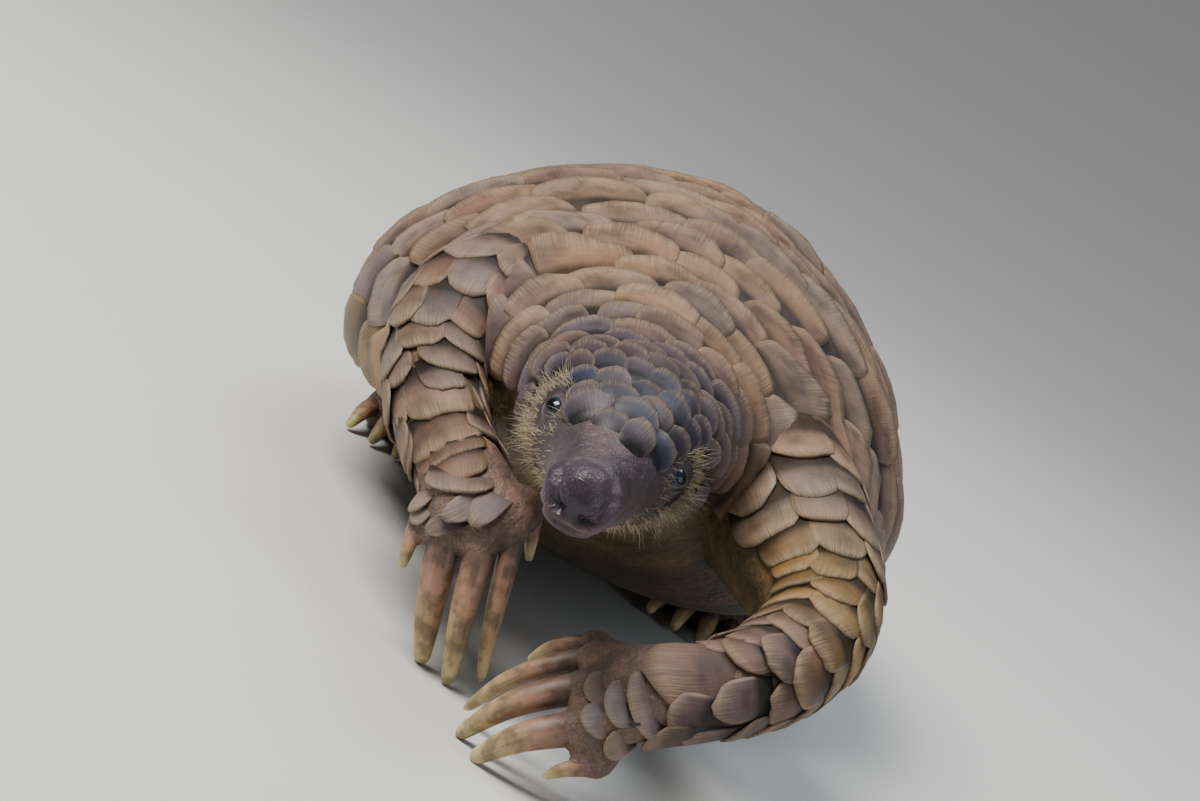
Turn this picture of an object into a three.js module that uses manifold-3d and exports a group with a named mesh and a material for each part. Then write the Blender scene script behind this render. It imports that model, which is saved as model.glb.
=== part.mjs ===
// A ground pangolin standing on four feet, life size, in millimetres.
// It faces -Y, its left side is +X, and the floor is the plane z = 0.
// The body, head, tail and legs are swept surfaces: a centre line with a half width, a height above
// and a depth below it at each station. Horny scales are raised from those surfaces in rings, each
// ring's free edge standing over the next one, set half a scale round from it.
import * as THREE from "three";
import { mergeVertices } from "three/addons/utils/BufferGeometryUtils.js";
import Module from "manifold-3d";

const wasm = await Module();
wasm.setup();

// Driving sizes
const EYE_HEIGHT = 84.5; // eyes above the floor
const GAP = 0.3; // clearance between pieces that touch
const SCALE_LIFT = 3.0; // how far a large scale's free edge stands up
const SCALLOP = 0.62; // depth of a scale's rounded tip, as a share of its ring's pitch
const UNDERCUT = 0.5; // how far a free edge hangs over the scale behind it
const PER_SCALE = 4; // faces across one scale
const EYE_RADIUS = 4.3;
const CLAW_TIP_RADIUS = 1.1;
const FLOOR_DEPTH = 60;

// The head, nose to nape: x, y, z, half width, above, below
const HEAD = [
  [0, -47.5, EYE_HEIGHT - 8.5, 3.4, 3.2, 3.4],
  [0, -45.5, EYE_HEIGHT - 8.0, 7.2, 6.6, 7.4],
  [0, -41.5, EYE_HEIGHT - 7.5, 9.6, 8.8, 9.6],
  [0, -35.0, EYE_HEIGHT - 7.0, 10.4, 9.8, 10.8],
  [0, -26.0, EYE_HEIGHT - 6.0, 11.2, 10.4, 12.4],
  [0, -15.0, EYE_HEIGHT - 4.0, 15.2, 12.6, 15.4],
  [0, -4.0, EYE_HEIGHT - 2.0, 19.8, 15.0, 18.4],
  [0, 8.0, EYE_HEIGHT - 0.5, 23.4, 17.6, 21.0],
  [0, 24.0, EYE_HEIGHT, 26.6, 20.4, 24.0],
  [0, 40.0, EYE_HEIGHT - 1.0, 28.6, 22.6, 26.5],
];

// Neck, trunk and tail: the back rises to its height at two fifths of the trunk, then falls to the
// tail, which comes down to the floor and swings gently to the right
const NECK_Y = 40.6;
const BACK_HEIGHT = 134;
const TRUNK_HALF_WIDTH = 96;
const TAIL_SWING = -62;
const BODY = [
  [0, NECK_Y, EYE_HEIGHT - 1, 28.6, 22.6, 26.5],
  [0, 64, EYE_HEIGHT - 2, 34, 27, 31],
  [0, 88, 78.5, 45, 36, 37],
  [0, 114, 72.5, 64, 48, 45],
  [0, 142, 66, 82, 61, 48],
  [0, 172, 61, 93, BACK_HEIGHT - 62.5, 46],
  [0, 204, 58.5, TRUNK_HALF_WIDTH, BACK_HEIGHT - 58.5, 42.5],
  [0, 238, 57, 94, 76.5, 39.5],
  [0, 272, 54, 87, 71.5, 36.5],
  [0, 304, 48, 78, 63, 32.5],
  [-1, 336, 41, 69.5, 52, 29],
  [-3, 372, 33.5, 62, 41, 24.5],
  [-8, 414, 26, 56, 32, 20.8],
  [-15, 462, 19.8, 51, 25, 17.6],
  [-25, 514, 16.4, 46, 20.5, 15.2],
  [-37, 566, 14.8, 39.5, 16, 13.4],
  [-49, 614, 13.4, 33.5, 13.2, 12],
  [-57, 650, 12, 25, 10.4, 10.4],
  [TAIL_SWING, 672, 11, 14, 7, 7.5],
  [TAIL_SWING - 2, 681, 10.6, 5, 3.6, 3.8],
];
const NECK_END = 52; // arc lengths along that line at which the nodes part
const TORSO_SPLIT = 172;
const TORSO_END = 301;
const TAIL_SPLITS = [418, 536];

// Each foreleg: shoulder, elbow and wrist to the knuckles, with the outward side at each station.
// The left one is a step ahead and turned in; both rest on the tips of their long claws.
const UPPER_ARM = 28;
const ELBOW = 16.5;
const WRIST = 13.5;
const FORELEGS = {
  left: {
    stations: [
      [40, 116, 78.5, UPPER_ARM, UPPER_ARM, UPPER_ARM],
      [60, 84, 70.5, 23, 24, 25],
      [74, 50, 63.5, ELBOW, 16.5, 17],
      [69, 17, 53.5, 15, 14.5, 15],
      [56, -6, 44.5, WRIST, 12, 12],
      [40, -15, 36.5, 14.5, 10.5, 11],
      [30, -17, 31.5, 14, 7.5, 8],
    ],
    outward: [
      [0.7, 0, 0.7],
      [0.75, -0.1, 0.65],
      [0.7, -0.45, 0.55],
      [0.35, -0.75, 0.55],
      [-0.1, -0.85, 0.5],
      [-0.45, -0.8, 0.4],
      [-0.55, -0.75, 0.36],
    ],
    // digit 1 to 5: root of the claw, its tip, half width at the root
    digits: [
      { root: [20, 4, 34.5], tip: [9, 10, 20.5], half: 2.2 },
      { root: [23, -6, 34.5], tip: [0.5, 1, 2.5], half: 3 },
      { root: [25.5, -16, 30], tip: [2, -15, 0], half: 4.1 },
      { root: [29, -25, 22], tip: [8, -26, 0], half: 4.4 },
      { root: [35, -28, 14.5], tip: [26, -32, 7.5], half: 2.3 },
    ],
  },
  right: {
    stations: [
      [-40, 134, 82.5, UPPER_ARM, UPPER_ARM, UPPER_ARM],
      [-53, 114, 74.5, 24, 24, 25],
      [-57, 93, 64.5, ELBOW, 16.5, 17],
      [-50, 73, 56.5, 15, 14.5, 15],
      [-39, 53, 50.5, WRIST, 12.5, 12],
      [-28.5, 37, 47, 14.5, 10.5, 10.5],
      [-22.5, 28, 43, 14, 7.5, 8],
    ],
    outward: [
      [-0.7, 0, 0.7],
      [-0.8, -0.1, 0.6],
      [-0.65, -0.5, 0.55],
      [-0.35, -0.65, 0.65],
      [-0.15, -0.7, 0.7],
      [-0.1, -0.85, 0.5],
      [-0.05, -1, 0.15],
    ],
    digits: [
      { root: [-9.5, 36, 51.5], tip: [-4, 37, 37.5], half: 2.2 },
      { root: [-11.5, 28, 46], tip: [1, 27, 3.5], half: 3 },
      { root: [-18, 23.5, 40.5], tip: [-6.5, 20, 0], half: 4 },
      { root: [-27.5, 24, 37], tip: [-15.5, 26, 0], half: 4.6 },
      { root: [-35.5, 27, 34], tip: [-33, 23, 21.5], half: 2.3 },
    ],
  },
};
const ELBOW_SPLIT = 0.36; // shares of a foreleg's length at which its nodes part
const WRIST_SPLIT = 0.8;

// Each hind leg: hip to ankle, and a broad foot flat on the floor with five short nails
const HIND_STANCE = { left: { side: 1, shift: -6 }, right: { side: -1, shift: 10 } };
const HIP_Y = 282;
const THIGH = 33;
const SHANK = 21;
const FOOT_LENGTH = 66;
const FOOT_HALF_WIDTH = 21;
const FOOT_X = 56;
const NAIL_LENGTH = 15;

const vec = (a) => new THREE.Vector3(a[0], a[1], a[2]);
const UP = new THREE.Vector3(0, 0, 1);

// A smooth value through the rows of a table: Catmull-Rom in station units, ends carried on straight
function smoothValue(table, column, t) {
  const last = table.length - 1;
  const i = Math.min(Math.max(Math.floor(t), 0), last - 1);
  const f = t - i;
  const b = table[i][column];
  const c = table[i + 1][column];
  const a = i > 0 ? table[i - 1][column] : 2 * b - c;
  const d = i + 2 <= last ? table[i + 2][column] : 2 * c - b;
  const square = f * f;
  const cube = square * f;
  const sum =
    2 * b + (c - a) * f + (2 * a - 5 * b + 4 * c - d) * square + (3 * b - a - 3 * c + d) * cube;
  return sum / 2;
}

// A swept body: at(s) gives its section's frame and sizes at an arc length along its centre line
function makeTrack(stations, outward = null, crestAt = () => 1, steps = 400) {
  const last = stations.length - 1;
  const centreAt = (t) => vec([0, 1, 2].map((k) => smoothValue(stations, k, t)));
  const lengths = [0];
  for (let i = 1; i <= steps; i += 1) {
    const leap = centreAt((i * last) / steps).distanceTo(centreAt(((i - 1) * last) / steps));
    lengths.push(lengths[i - 1] + leap);
  }
  const stationAt = (s) => {
    let i = 1;
    while (i < steps && lengths[i] < s) i += 1;
    const share = (s - lengths[i - 1]) / (lengths[i] - lengths[i - 1]);
    return ((i - 1 + share) * last) / steps;
  };
  const at = (s) => {
    const t = stationAt(s);
    const centre = centreAt(t);
    const tangent = centreAt(t + 0.02).sub(centreAt(t - 0.02)).normalize();
    const out = outward ? vec([0, 1, 2].map((k) => smoothValue(outward, k, t))) : UP;
    const side = new THREE.Vector3().crossVectors(tangent, out).normalize();
    const up = new THREE.Vector3().crossVectors(side, tangent).normalize();
    const [width, above, below] = [3, 4, 5].map((k) => Math.max(smoothValue(stations, k, t), 0.5));
    return { centre, tangent, side, up, width, above, below, crest: crestAt(s) };
  };
  return { at, length: lengths[steps] };
}

// The point of a section at an angle from its top, raised by lift along the section's own normal.
// The lower half is a little squarer than an ellipse, as a belly is, and the upper half of the
// trunk falls away a little faster to each side.
const BELLY_SQUARENESS = 0.86;
function surfacePoint(frame, angle, lift) {
  const c = Math.cos(angle);
  const n = Math.sin(angle);
  const lower = c < 0;
  const height = lower ? frame.below : frame.above;
  const power = lower ? BELLY_SQUARENESS : frame.crest;
  const across = Math.sign(n) * Math.abs(n) ** power;
  const upward = Math.sign(c) * Math.abs(c) ** power;
  const normal = new THREE.Vector2(n / frame.width, c / height).normalize();
  return frame.centre
    .clone()
    .addScaledVector(frame.side, frame.width * across + lift * normal.x)
    .addScaledVector(frame.up, height * upward + lift * normal.y);
}

// A closed mesh from rows of points, with a flat fan over each end
function closedGrid(rows) {
  const columns = rows[0].length;
  const positions = rows.flat().flatMap((p) => [p.x, p.y, p.z]);
  const middle = (row) =>
    row.reduce((sum, p) => sum.add(p), new THREE.Vector3()).multiplyScalar(1 / columns);
  for (const row of [rows[0], rows[rows.length - 1]]) positions.push(...middle(row).toArray());
  const first = rows.length * columns;
  const index = [];
  for (let j = 0; j < columns; j += 1) {
    const next = (j + 1) % columns;
    for (let i = 0; i + 1 < rows.length; i += 1) {
      const [a, b] = [i * columns + j, i * columns + next];
      const [c, d] = [b + columns, a + columns];
      index.push(a, b, c, a, c, d);
    }
    const end = (rows.length - 1) * columns;
    index.push(first, next, j, first + 1, end + j, end + next);
  }
  const geometry = new THREE.BufferGeometry();
  geometry.setAttribute("position", new THREE.Float32BufferAttribute(positions, 3));
  geometry.setIndex(index);
  return geometry;
}

const smoothStep = (low, high, x) => {
  const t = Math.min(Math.max((x - low) / (high - low), 0), 1);
  return t * t * (3 - 2 * t);
};

// Even draws from 0 to 1 that are the same each time, so that no two scales are quite alike
const SCALE_VARIATION = 0.22;
function drawsFrom(seed) {
  let state = seed;
  return () => {
    state = (state * 1664525 + 1013904223) % 4294967296;
    return state / 4294967296;
  };
}
const draw = drawsFrom(41);

// A stretch of a swept body covered in rings of scales. across scales span the angle from -cover to
// +cover from the top (or the whole way round), and bare counts the faces of the skin between.
// Each ring's free edge is two rows of points: the raised tips, and the surface just under them.
function scaledStretch(track, spec) {
  const { from, to, rings, across, bare, cover, lift, growth = 1, mask = () => 1 } = spec;
  const covered = across * PER_SCALE;
  const columns = covered + bare;
  const angleOf = (j, s) => {
    const half = cover(s);
    if (j <= covered) return -half + (2 * half * j) / covered;
    return half + ((2 * Math.PI - 2 * half) * (j - covered)) / bare;
  };
  const edgeFade = (j) => {
    if (!bare) return 1;
    return j > covered ? 0 : Math.min(1, Math.min(j, covered - j) / 2);
  };
  const tipShape = (j, ring) => {
    const f = ((j + (ring % 2) * 2) % PER_SCALE) / PER_SCALE;
    return 1 - Math.abs(2 * f - 1) ** 1.8;
  };
  const place = (j, s, height) => {
    const frame = track.at(s);
    const angle = angleOf(j, s);
    return surfacePoint(frame, angle, height(frame, angle));
  };
  const rows = [];
  const addRow = (make) => rows.push(Array.from({ length: columns }, (_, j) => make(j)));
  const ringEnd = (ring) => from + (to - from) * (ring / rings) ** growth;
  addRow((j) => place(j, from, () => 0));
  for (const s of spec.before ?? []) addRow((j) => place(j, s, () => 0));
  for (let ring = 1; ring < rings; ring += 1) {
    const middle = ringEnd(ring);
    const pitch = ringEnd(ring + 1) - middle;
    const weights = [];
    const edges = [];
    const sizes = Array.from({ length: across + 2 }, () => 1 + SCALE_VARIATION * (draw() - 0.5));
    const sizeOf = (j) => sizes[Math.floor((j + (ring % 2) * 2) / PER_SCALE) % (bare ? 99 : across)];
    for (let j = 0; j < columns; j += 1) {
      const fade = edgeFade(j);
      const reach = SCALLOP * pitch * (tipShape(j, ring) * (fade ? sizeOf(j) : 1) - 0.5);
      const edge = middle + reach * fade;
      const frame = track.at(edge);
      weights[j] = fade * mask(surfacePoint(frame, angleOf(j, edge), 0), edge, angleOf(j, edge));
      edges[j] = middle + (edge - middle) * weights[j];
    }
    const tip = (j) => {
      const rise = lift(edges[j], angleOf(j, edges[j])) * (0.7 + 0.3 * tipShape(j, ring));
      return weights[j] ? rise * weights[j] * sizeOf(j) : 0;
    };
    addRow((j) => place(j, edges[j], () => tip(j)));
    const behind = (j) => edges[j] + 0.08 * pitch * (1 - weights[j]) - UNDERCUT * weights[j];
    addRow((j) => place(j, behind(j), () => 0.12 * tip(j)));
  }
  const endHeight = (j) => (spec.flatEnd ? 0 : 0.9 * lift(to, 0) * edgeFade(j));
  addRow((j) => {
    const weight = mask(place(j, to, () => 0), to, angleOf(j, to));
    return place(j, to, () => endHeight(j) * weight);
  });
  for (const s of spec.after ?? []) addRow((j) => place(j, s, () => 0));
  return closedGrid(rows);
}

// The same stretch with no scales, grown outwards: what a limb is cut back from
function grownStretch(track, from, to, grow, columns = 40, rowsCount = 24) {
  const rows = Array.from({ length: rowsCount + 1 }, (_, i) => {
    const s = from + ((to - from) * i) / rowsCount;
    const frame = track.at(s);
    return Array.from({ length: columns }, (_, j) => {
      const angle = -Math.PI + (2 * Math.PI * j) / columns;
      return surfacePoint(frame, angle, grow(surfacePoint(frame, angle, 0)));
    });
  });
  return closedGrid(rows);
}

// A tapering tube along points, with a half width and half height at each share of its length
function tube(points, halfSizes, outward, sides, steps) {
  const curve = new THREE.CatmullRomCurve3(points.map((p) => vec(p)));
  const rows = Array.from({ length: steps + 1 }, (_, i) => {
    const t = i / steps;
    const centre = curve.getPointAt(t);
    const tangent = curve.getTangentAt(t);
    const side = new THREE.Vector3().crossVectors(tangent, vec(outward)).normalize();
    const up = new THREE.Vector3().crossVectors(side, tangent);
    const [half, tall] = halfSizes(t);
    return Array.from({ length: sides }, (_, j) => {
      const angle = -Math.PI + (2 * Math.PI * (j + 0.5)) / sides;
      return centre
        .clone()
        .addScaledVector(side, half * Math.sin(angle))
        .addScaledVector(up, tall * Math.cos(angle));
    });
  });
  return closedGrid(rows);
}

// Closed meshes as solids that can be joined and cut, and back
function solid(geometry) {
  const bare = new THREE.BufferGeometry();
  bare.setAttribute("position", geometry.getAttribute("position"));
  bare.setIndex(geometry.index);
  const merged = mergeVertices(bare, 1e-4);
  return new wasm.Manifold(
    new wasm.Mesh({
      numProp: 3,
      vertProperties: merged.attributes.position.array,
      triVerts: new Uint32Array(merged.index.array),
    }),
  );
}

function largestBody(shape) {
  return shape.decompose().sort((a, b) => b.volume() - a.volume())[0];
}

function geometryOf(shape) {
  const mesh = shape.getMesh();
  const geometry = new THREE.BufferGeometry();
  geometry.setAttribute("position", new THREE.BufferAttribute(mesh.vertProperties, 3));
  geometry.setIndex(new THREE.BufferAttribute(mesh.triVerts, 1));
  return geometry;
}

function ball(centre, radii, turn = null, detail = 10) {
  const shape = new THREE.SphereGeometry(1, detail, Math.round(detail * 0.7));
  shape.scale(...radii);
  if (turn) shape.applyQuaternion(turn);
  shape.translate(...centre);
  return solid(shape);
}

const floorBlock = new THREE.BoxGeometry(2000, 2000, FLOOR_DEPTH);
floorBlock.translate(0, 0, -FLOOR_DEPTH / 2);
const floorSolid = solid(floorBlock);
const onFloor = (shape) => largestBody(shape.subtract(floorSolid));

const scaleMaterial = new THREE.MeshStandardMaterial({ color: 0x6f5f52, roughness: 0.62 });
const skinMaterial = new THREE.MeshStandardMaterial({ color: 0x7d6b62, roughness: 0.7 });
const clawMaterial = new THREE.MeshStandardMaterial({ color: 0xa38c66, roughness: 0.45 });
const eyeMaterial = new THREE.MeshStandardMaterial({ color: 0x0b0a0c, roughness: 0.08 });

const pangolin = new THREE.Group();
function add(name, geometry, material) {
  const mesh = new THREE.Mesh(geometry, material);
  mesh.name = name;
  pangolin.add(mesh);
}

// Where a limb leaves the body the scales give way to bare skin
const ROOTS = [
  { centre: vec([58, 88, 68]), radius: 27 },
  { centre: vec([-52, 116, 73]), radius: 26 },
  { centre: vec([60, HIP_Y - 16, 28]), radius: 28 },
  { centre: vec([-60, HIP_Y, 28]), radius: 28 },
];
const ROOT_FADE = 9;
function limbMask(point, slack = 0) {
  return ROOTS.reduce((value, root) => {
    const away = point.distanceTo(root.centre) + slack - root.radius;
    return value * smoothStep(0, ROOT_FADE, away);
  }, 1);
}

// Neck, trunk and tail
const BACK_CREST = 0.14;
const body = makeTrack(BODY, null, (s) => 1 + BACK_CREST * smoothStep(10, 95, s));
const degrees = THREE.MathUtils.degToRad;
const bodyCover = (s) => degrees(98 + 22 * smoothStep(0, 120, s));
const bodyLift = (s) => {
  const front = 0.45 + 0.55 * smoothStep(20, 110, s);
  const rear = 1 - 0.45 * smoothStep(TORSO_END, body.length, s);
  return SCALE_LIFT * front * rear;
};

function addBody() {
  const common = { cover: bodyCover, lift: bodyLift, mask: (point) => limbMask(point) };
  const neck = { ...common, from: 0, to: NECK_END, rings: 5, across: 10, bare: 4, growth: 1.2 };
  add("neck", scaledStretch(body, neck), scaleMaterial);
  const torso = { ...common, across: 13, bare: 4 };
  const front = { from: NECK_END + GAP, to: TORSO_SPLIT, rings: 7, growth: 1.1 };
  const rear = { from: TORSO_SPLIT + GAP, to: TORSO_END, rings: 7 };
  add("torso_front", scaledStretch(body, { ...torso, ...front }), scaleMaterial);
  add("torso_rear", scaledStretch(body, { ...torso, ...rear }), scaleMaterial);
}

// The scales along the tail's two edges stand out as a row of points
const EDGE_RISE = 0.9;
function addTail() {
  const names = ["tail_base", "tail_middle", "tail_end"];
  const ends = [TORSO_END, ...TAIL_SPLITS, body.length - 9];
  names.forEach((name, k) => {
    const last = k === names.length - 1;
    const spec = {
      from: ends[k] + GAP,
      to: ends[k + 1],
      rings: last ? 4 : 5,
      across: 10,
      bare: 0,
      cover: () => Math.PI,
      lift: (s, angle) => bodyLift(s) * (1 + EDGE_RISE * Math.abs(Math.sin(angle)) ** 8),
      after: last ? [body.length - 3, body.length - 0.5] : [],
    };
    add(name, geometryOf(onFloor(solid(scaledStretch(body, spec)))), scaleMaterial);
  });
}

// The head: a bare muzzle with a round nose, small scales from between the eyes back to the nape
const head = makeTrack(HEAD);
const FACE_SIDES = 24;
const SCALES_START = 44; // arc length at which the forehead's scales begin
const eyeCentre = (side) => [side * 17.9, -3.5, EYE_HEIGHT + 0.8];
const eyeGaze = (side) => vec([side * 0.83, -0.5, 0.24]).normalize();

function addHead() {
  const muzzle = [1.2, 3.6, 8, 15, 23, 31, 38];
  const crown = scaledStretch(head, {
    from: SCALES_START - 4,
    to: head.length,
    rings: 6,
    across: 7,
    bare: 6,
    cover: (s) => degrees(60 + 38 * smoothStep(SCALES_START, head.length, s)),
    lift: () => 1.6,
  });
  const face = Array.from({ length: muzzle.length + 1 }, (_, i) => {
    const frame = head.at(i < muzzle.length ? muzzle[i] : SCALES_START - 3.9);
    return Array.from({ length: FACE_SIDES }, (_, j) =>
      surfacePoint(frame, -Math.PI + (2 * Math.PI * j) / FACE_SIDES, 0),
    );
  });
  let shape = solid(crown).add(solid(closedGrid(face)));
  for (const side of [1, -1]) {
    const facing = new THREE.Quaternion().setFromUnitVectors(UP, eyeGaze(side));
    const lid = new THREE.TorusGeometry(EYE_RADIUS * 0.96, 1.2, 5, 10);
    lid.scale(1, 0.86, 1);
    lid.applyQuaternion(facing);
    lid.translate(...vec(eyeCentre(side)).addScaledVector(eyeGaze(side), 2.1).toArray());
    const socket = EYE_RADIUS + GAP;
    shape = shape.add(solid(lid)).subtract(ball(eyeCentre(side), [socket, socket, socket]));
    const nostril = [side * 4.9, -46.6, EYE_HEIGHT - 11.6];
    shape = shape.subtract(ball(nostril, [1.5, 3.2, 1.9], null, 7));
  }
  const lip = [-1, -0.72, 0, 0.72, 1].map((k) => [
    k * 10.6,
    -44.6 + 17 * k * k,
    EYE_HEIGHT - 15.4 + 1.6 * k * k,
  ]);
  shape = shape.subtract(solid(tube(lip, () => [0.9, 0.6], [0, 0, 1], 4, 8)));
  add("head", geometryOf(largestBody(shape)), skinMaterial);
}

function addEyesAndEars() {
  const grown = solid(grownStretch(head, 50, head.length - 0.5, () => GAP + 0.05, 36, 8));
  for (const [name, side] of [
    ["left", 1],
    ["right", -1],
  ]) {
    const eye = ball(eyeCentre(side), [EYE_RADIUS, EYE_RADIUS, EYE_RADIUS]);
    add("eye_" + name, geometryOf(eye), eyeMaterial);
    const centre = [side * 26, 24, EYE_HEIGHT - 6];
    const shell = ball(centre, [4, 3.6, 6.2], null, 8);
    const cup = ball([centre[0] + side * 2.6, centre[1] - 1.6, centre[2]], [2.6, 2.4, 4.2], null, 6);
    const ear = largestBody(shell.subtract(cup).subtract(grown));
    add("ear_" + name, geometryOf(ear), skinMaterial);
  }
}

// What the legs are cut back from: the trunk's scales at full height, bare skin at the limb roots
const LIMB_CLEARANCE = 0.5;
const ENVELOPE_SLACK = 12;
const trunkRise = (point) => LIMB_CLEARANCE + SCALE_LIFT * limbMask(point, ENVELOPE_SLACK);
const trunkEnvelope = solid(grownStretch(body, 1, TORSO_END + 60, trunkRise, 48, 40));

// A claw: a curved horn with its root sunk in the digit, blunt at its tip. Grown, it is the hollow
// the digit leaves for it.
const CLAW_SUNK = 3;
function claw(root, direction, tip, half, outward, grow = 0) {
  const reach = root.distanceTo(tip);
  const bend = root.clone().addScaledVector(direction, reach * 0.52);
  const middle = bend.lerp(root.clone().lerp(tip, 0.5), 0.35);
  const start = root.clone().addScaledVector(direction, -CLAW_SUNK - grow);
  const points = [start, middle, tip].map((p) => p.toArray());
  const taper = (t) => 1 - 0.76 * t ** 2.6;
  const size = (t) => Math.max(half * taper(t), CLAW_TIP_RADIUS) + grow;
  return tube(points, (t) => [size(t), size(t)], outward, 6, grow ? 2 : 4);
}

// A digit and its claw: the digit joins the foot, and the claw is a node of its own
function digitOf(name, foot, { inside, root, direction, tip, half, outward, sides = 6 }) {
  const ring = half * 1.15 + 1.1;
  const before = root.clone().addScaledVector(direction, -half * 1.4);
  const path = [inside, before, root].map((p) => p.toArray());
  const finger = solid(tube(path, () => [ring, ring], outward, sides, 2));
  add(name, geometryOf(onFloor(solid(claw(root, direction, tip, half, outward)))), clawMaterial);
  const hollow = solid(claw(root, direction, tip, half, outward, GAP + 0.15));
  foot.fingers.push(finger);
  foot.hollows.push(hollow);
}

function footWithDigits(palm, foot) {
  const joined = foot.fingers.reduce((shape, finger) => shape.add(finger), palm);
  return foot.hollows.reduce((shape, hollow) => shape.subtract(hollow), joined);
}

function addForeleg(name) {
  const { stations, outward, digits } = FORELEGS[name];
  const leg = makeTrack(stations, outward);
  const elbow = leg.length * ELBOW_SPLIT;
  const wrist = leg.length * WRIST_SPLIT;
  const common = { across: 6, bare: 4, cover: () => degrees(118) };
  const stretch = (extra) => scaledStretch(leg, { ...common, ...extra });
  const upper = stretch({ from: 0, to: elbow, rings: 4, lift: () => 2.6 });
  add(
    `foreleg_${name}_upper`,
    geometryOf(largestBody(solid(upper).subtract(trunkEnvelope))),
    scaleMaterial,
  );
  const lower = stretch({ from: elbow + GAP, to: wrist, rings: 5, lift: () => 2.1 });
  const bend = solid(grownStretch(leg, 0, elbow, () => 2.6 + LIMB_CLEARANCE, 28, 24));
  add(
    `foreleg_${name}_lower`,
    geometryOf(largestBody(solid(lower).subtract(trunkEnvelope).subtract(bend))),
    scaleMaterial,
  );
  const palm = solid(stretch({ from: wrist + GAP, to: leg.length, rings: 2, lift: () => 1.4 }));
  const back = outward[outward.length - 1];
  const foot = { fingers: [], hollows: [] };
  digits.forEach(({ root, tip, half }, k) => {
    const aim = vec(tip).sub(vec(root)).normalize();
    const direction = aim.clone().addScaledVector(vec(back).normalize(), 0.35).normalize();
    const inside = leg.at(leg.length * 0.93).centre.lerp(vec(root), 0.3);
    const digit = { inside, root: vec(root), direction, tip: vec(tip), half, outward: back };
    digitOf(`claw_fore_${name}_${k + 1}`, foot, digit);
  });
  add(`forefoot_${name}`, geometryOf(largestBody(footWithDigits(palm, foot))), skinMaterial);
}

function addHindLeg(name) {
  const { side, shift } = HIND_STANCE[name];
  const y = HIP_Y + shift;
  const stations = [
    [side * 36, y, 62, THIGH, THIGH, THIGH],
    [side * 50, y - 10, 48, 28, 30, 28],
    [side * 56, y - 14, 34, 24, 26, 24],
    [side * 57, y - 11, 19, SHANK, 22, SHANK],
    [side * 57, y - 9, 6, SHANK - 1, 21, SHANK - 1],
  ];
  const outward = stations.map((_, k) => [side * 0.9, -0.3 - 0.1 * k, 0.3]);
  const leg = makeTrack(stations, outward);
  const heel = y + 12;
  const toe = heel - FOOT_LENGTH;
  const turn = side * 4; // the toes point a little outwards
  const footTrack = makeTrack([
    [side * FOOT_X, heel, 10, 13, 7, 12],
    [side * FOOT_X, heel - 8, 11, 18, 8.5, 13],
    [side * FOOT_X + turn * 0.4, heel - 30, 11, FOOT_HALF_WIDTH, 9, 13],
    [side * FOOT_X + turn, toe + 6, 9, FOOT_HALF_WIDTH, 8, 11],
    [side * FOOT_X + turn, toe, 7, FOOT_HALF_WIDTH - 4, 6, 8],
  ]);
  const spec = { from: 0, to: footTrack.length, rings: 1, across: 4, bare: 4 };
  const rowsAt = [0.14, 0.45, 0.85].map((share) => share * footTrack.length);
  const palm = solid(
    scaledStretch(footTrack, { ...spec, cover: () => degrees(100), lift: () => 0, before: rowsAt }),
  );
  const foot = { fingers: [], hollows: [] };
  const grownFoot = solid(grownStretch(footTrack, 0, footTrack.length, () => GAP + 0.15, 24, 8));
  for (let k = 0; k < 5; k += 1) {
    const spread = (k - 2) / 2;
    const x = side * FOOT_X + turn + spread * (FOOT_HALF_WIDTH - 4.5);
    const root = vec([x, toe - 4 + 6 * spread * spread, 8.5]);
    const tip = vec([x + spread * 3, root.y - NAIL_LENGTH, 1.5]);
    const direction = vec([spread * 0.15, -1, -0.1]).normalize();
    const inside = vec([x * 0.98, toe + 14, 9]);
    const digit = { inside, root, direction, tip, half: 3.2, outward: [0, 0, 1], sides: 5 };
    digitOf(`claw_hind_${name}_${k + 1}`, foot, digit);
  }
  add(`hindfoot_${name}`, geometryOf(onFloor(footWithDigits(palm, foot))), skinMaterial);
  const shell = scaledStretch(leg, {
    from: 0,
    to: leg.length,
    rings: 2,
    across: 4,
    bare: 3,
    cover: () => degrees(130),
    lift: () => 2.4,
    flatEnd: true,
  });
  const shape = solid(shell).subtract(trunkEnvelope).subtract(grownFoot);
  add(`hindleg_${name}`, geometryOf(largestBody(shape)), scaleMaterial);
}

addBody();
addTail();
addHead();
addEyesAndEars();
for (const name of ["left", "right"]) {
  addForeleg(name);
  addHindLeg(name);
}

// The origin is under the middle of the whole animal, on the floor
const bounds = new THREE.Box3().setFromObject(pangolin);
const middle = bounds.getCenter(new THREE.Vector3());
pangolin.position.set(-middle.x, -middle.y, -bounds.min.z);

export default pangolin;
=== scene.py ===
import math

import bpy
import numpy as np
from mathutils import Matrix, Vector
from mathutils.bvhtree import BVHTree


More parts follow.
